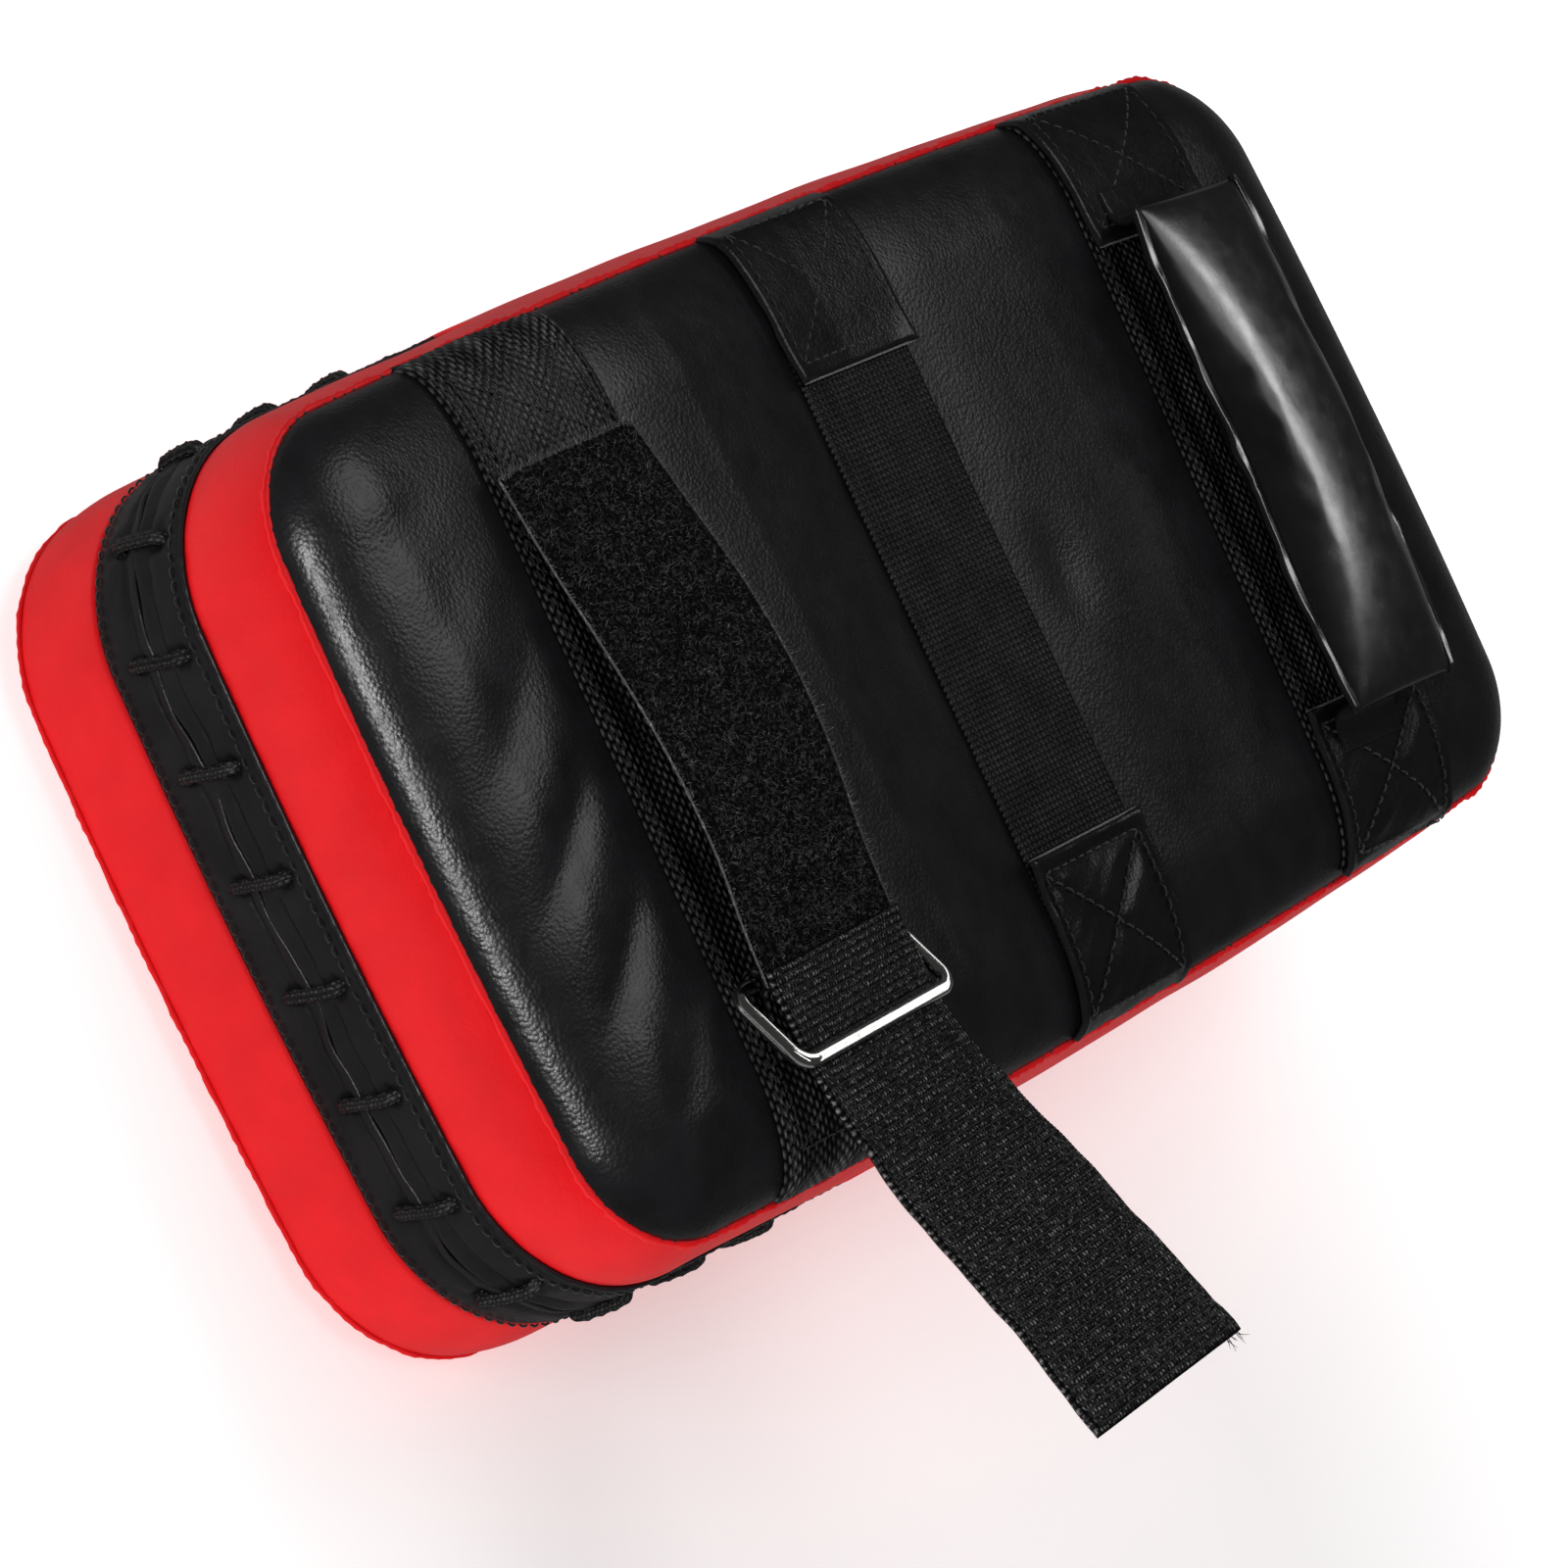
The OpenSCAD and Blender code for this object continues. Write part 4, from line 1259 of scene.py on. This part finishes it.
def make_grip():
    """Glossy leather sleeve: a swollen pillow with a narrow sewn flange on both long edges."""
    points, faces, number = grip_shape()
    lo, hi = box_mm("handle_cover")
    thick = np.ptp(points[:, 2])
    points[:, 2] *= min(1.0, (hi[2] - lo[2] + 1.5) / thick)
    grip = new_mesh("grip_cover_leather", grip_place(points), faces)
    smooth = grip.modifiers.new("smooth", "SUBSURF")
    smooth.levels = smooth.render_levels = 1
    dress(grip, grip_leather, "handle", ("handle_cover", "handle_foam"))
    for side, column, name in ((-1, 0, "near"), (1, -1, "far")):
        make_flange("grip_flange_" + name, points[number[:, column]], side)


def make_flange(name, edge, side):
    """Narrow wavy flange along one sewn edge of the grip."""
    travelled = lengths(edge)
    wave = 0.8 * ripples(travelled, 16, 20 + side)
    reach = 2.6 + 0.7 * ripples(travelled, 26, 30 + side)
    t = np.linspace(0, 1, 6)
    grid = np.repeat(edge[:, None], len(t), axis=1)
    grid[..., 1] += side * (t * reach[:, None] - 0.6)
    grid[..., 2] += wave[:, None] * t ** 1.5
    grid = grip_place(grid[::side])
    uv = np.stack(np.meshgrid(travelled, t * 3, indexing="ij"), axis=-1)
    flange = sheet(name, grid, rounded_edge((1 - t) * 3, 0.75, 0.6), uv)
    dress(flange, grip_leather, "handle")


def make_grip_webs():
    """Leather-covered web tabs that leave the grip's ends and are sewn down under its patches."""
    lo, hi = box_mm("handle_web")
    for side, name in ((-1, "left"), (1, "right")):
        corners = ((52, hi[2] - 1), (58, hi[2] - 1), (61, hi[2] - 3),
                   (61, lo[2] + 1), (64, lo[2] - 1.4), (70, lo[2] - 1.8))
        profile = resampled(softened([(side * along, z) for along, z in corners]), 0.6)
        across = np.linspace(-12, 12, 60)
        along, sideways = np.meshgrid(profile[:, 0], across - 4, indexing="ij")
        height = np.broadcast_to(profile[:, 1:], along.shape)
        grid = np.stack([*row_place(HANDLE_ROW, along, sideways), height], axis=-1)[::-side]
        uv = uv_grid(lengths(profile), across)
        relief = beads(uv, 0.3)
        half = rounded_edge(edge_distance(uv), 0.9, 0.8)
        web = sheet("grip_web_" + name, grid, half, uv, relief - 0.1)
        dress(web, patch_leather, None, ("handle_web",) if side < 0 else ())
        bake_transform(web)


# ---------------- carried-over CAD nodes

def finish_cad_nodes():
    """Materials for the CAD nodes that stay in view or inside the pad."""
    looks = {"strap_ring": nickel, "foam_front": foam, "foam_middle": foam, "lace_tongue": lining_look}
    for node, material in looks.items():
        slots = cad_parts[node].data.materials
        slots.clear()
        slots.append(material)


# ---------------- studio

CAMERA_AZIMUTH = -1.2
CAMERA_ELEVATION = 40.2
CAMERA_ROLL = 65.0
CAMERA_DISTANCE = 1.585
CAMERA_AIM = Vector((0.0196, 0.0085, 0.0175))
CAMERA_LENS = 160.9
# Glow of the paper for the pad, for mirror-like reflections and for the camera: for the camera a painted
# shadow dims it round one place beside the pad, and it is white past the outer distance
FLOOR_GLOW = 0.68
MIRRORED_GLOW = 0.05
PAPER_GLOW = 0.3
SHADED_PLACE = (210, -40, 0)
SHADED_RANGE = (120, 480)
WORLD_GLOW = 0.035
SHOULDER = ("leather_back_panel", "lace_strip_front_leather", "lace_strip_back_leather", "lace_piping",
            "lace_cord_braid")
GRIP = ("grip_cover_leather", "grip_flange_near", "grip_flange_far")
# Softboxes: place, aim, width and height, power, whether they show in reflections, pieces they light
LIGHTS = {"key_softbox": ((-0.5, 0.6, 1.4), (-0.5, 0, 0.09), (0.9, 0.8), 4.8, True, ()),
          "top_fill": ((0.2, 0.0, 2.6), (0, 0, 0), (2.2, 2.2), 18, False, ()),
          "end_fill": ((-0.2, -2.2, 0.9), (0, 0, 0.05), (1.6, 1.0), 24, False, ()),
          "side_fill": ((2.2, -0.6, 0.9), (0, 0, 0.05), (1.4, 1.0), 16, False, ()),
          "shoulder_softbox": ((-0.2, -1.34, 1.59), (0, -0.17, 0.08), (0.6, 0.5), 22, True, SHOULDER),
          "grip_softbox": ((-0.1, 0.95, 1.4), (0, 0.12, 0.12), (0.8, 0.36), 9, True, GRIP),
          "ring_card_far": ((0.06, 0.9, 0.8), (0.06, -0.1, 0.1), (2.0, 0.35), 3, True, ("strap_ring",)),
          "ring_card_top": ((0.1, -0.4, 1.3), (0.06, -0.1, 0.1), (1.5, 0.16), 2, True, ("strap_ring",))}


def studio_floor():
    """White paper that looks darker in the pad's reflections, as a flag would make it, and carries a painted
    shadow beside the pad for the camera.
    """
    size = 6.0
    corners = [(-size, -size, 0), (size, -size, 0), (size, size, 0), (-size, size, 0)]
    mesh = bpy.data.meshes.new("studio_floor")
    mesh.from_pydata(corners, [], [(0, 1, 2, 3)])
    floor = bpy.data.objects.new("studio_floor", mesh)
    bpy.context.scene.collection.objects.link(floor)
    look = Look("studio_paper")
    color = look.mixed(look.noise(400, 2), grey(0.93), grey(0.96))
    rays = look.add("LightPath")
    glossy = rays.outputs["Is Glossy Ray"]
    glow = look.between(glossy, FLOOR_GLOW, MIRRORED_GLOW)
    away = look.add("VectorMath", {0: look.place, 1: SHADED_PLACE}, operation="DISTANCE").outputs["Value"]
    # painted shadow: the glow the camera sees falls off towards one place beside the pad
    paper = look.between(away, PAPER_GLOW, 1.0, *SHADED_RANGE)
    shown = look.math("MULTIPLY", rays.outputs["Is Camera Ray"], look.math("SUBTRACT", paper, glow))
    look.finish(Base_Color=look.mixed(glossy, color, grey(0.2)), Roughness=0.8, Specular_IOR_Level=0.1,
                Emission_Color=color, Emission_Strength=look.math("ADD", glow, shown))
    mesh.materials.append(look.material)


def area_light(name, place, aim, size, power, mirrored, pieces):
    """Rectangular light; with pieces it reaches only those, as flags round them would make it."""
    light = bpy.data.lights.new(name, "AREA")
    light.shape = "RECTANGLE"
    light.size, light.size_y = size
    light.energy = power
    lamp = bpy.data.objects.new(name, light)
    lamp.location = place
    lamp.rotation_euler = (Vector(aim) - Vector(place)).to_track_quat("-Z", "Y").to_euler()
    lamp.visible_glossy = mirrored
    bpy.context.scene.collection.objects.link(lamp)
    if pieces:
        group = bpy.data.collections.new(name + "_parts")
        for piece in pieces:
            group.objects.link(bpy.data.objects[piece])
        lamp.light_linking.receiver_collection = group


def studio_world():
    """White for the camera, dim for everything that reflects it."""
    world = bpy.data.worlds.new("studio")
    bpy.context.scene.world = world
    world.use_nodes = True
    tree = world.node_tree
    background = tree.nodes["Background"]
    rays = tree.nodes.new("ShaderNodeLightPath")
    seen = tree.nodes.new("ShaderNodeMapRange")
    seen.inputs["To Min"].default_value = WORLD_GLOW
    seen.inputs["To Max"].default_value = 1.0
    tree.links.new(rays.outputs["Is Camera Ray"], seen.inputs["Value"])
    tree.links.new(seen.outputs[0], background.inputs["Strength"])
    background.inputs["Color"].default_value = (1, 1, 1, 1)


def studio_camera():
    """Long lens that looks down at the arm side, rolled so that the laced end comes forward."""
    azimuth, elevation = math.radians(CAMERA_AZIMUTH), math.radians(CAMERA_ELEVATION)
    back = Vector((math.sin(azimuth) * math.cos(elevation), -math.cos(azimuth) * math.cos(elevation),
                   math.sin(elevation)))
    level = Vector((math.cos(azimuth), math.sin(azimuth), 0))
    up = back.cross(level)
    roll = math.radians(CAMERA_ROLL)
    right = level * math.cos(roll) + up * math.sin(roll)
    top = up * math.cos(roll) - level * math.sin(roll)
    data = bpy.data.cameras.new("photo_camera")
    data.lens = CAMERA_LENS
    data.sensor_width = 36
    camera = bpy.data.objects.new("photo_camera", data)
    axes = Matrix((right, top, back)).transposed().to_4x4()
    camera.matrix_world = Matrix.Translation(CAMERA_AIM + back * CAMERA_DISTANCE) @ axes
    bpy.context.scene.collection.objects.link(camera)
    bpy.context.scene.camera = camera


make_back_panel()
make_strike_panel()
make_bands()
make_seams()
make_lace_strips()
make_cord()
make_web("strap_base_webbing", STRAP_ROW, WEB_W, WEB_T, ("strap_base_web",))
make_web("handle_base_webbing", HANDLE_ROW, WEB_W, WEB_T, ("handle_base_web",))
make_web_threads()
make_elastic()
make_patches()
make_loop_strap()
make_hook_strap()
make_anchor_loop()
make_grip()
make_grip_webs()
finish_cad_nodes()
studio_floor()
for lamp_name, lamp_settings in LIGHTS.items():
    area_light(lamp_name, *lamp_settings)
studio_world()
studio_camera()
bpy.context.scene.view_settings.view_transform = "Standard"
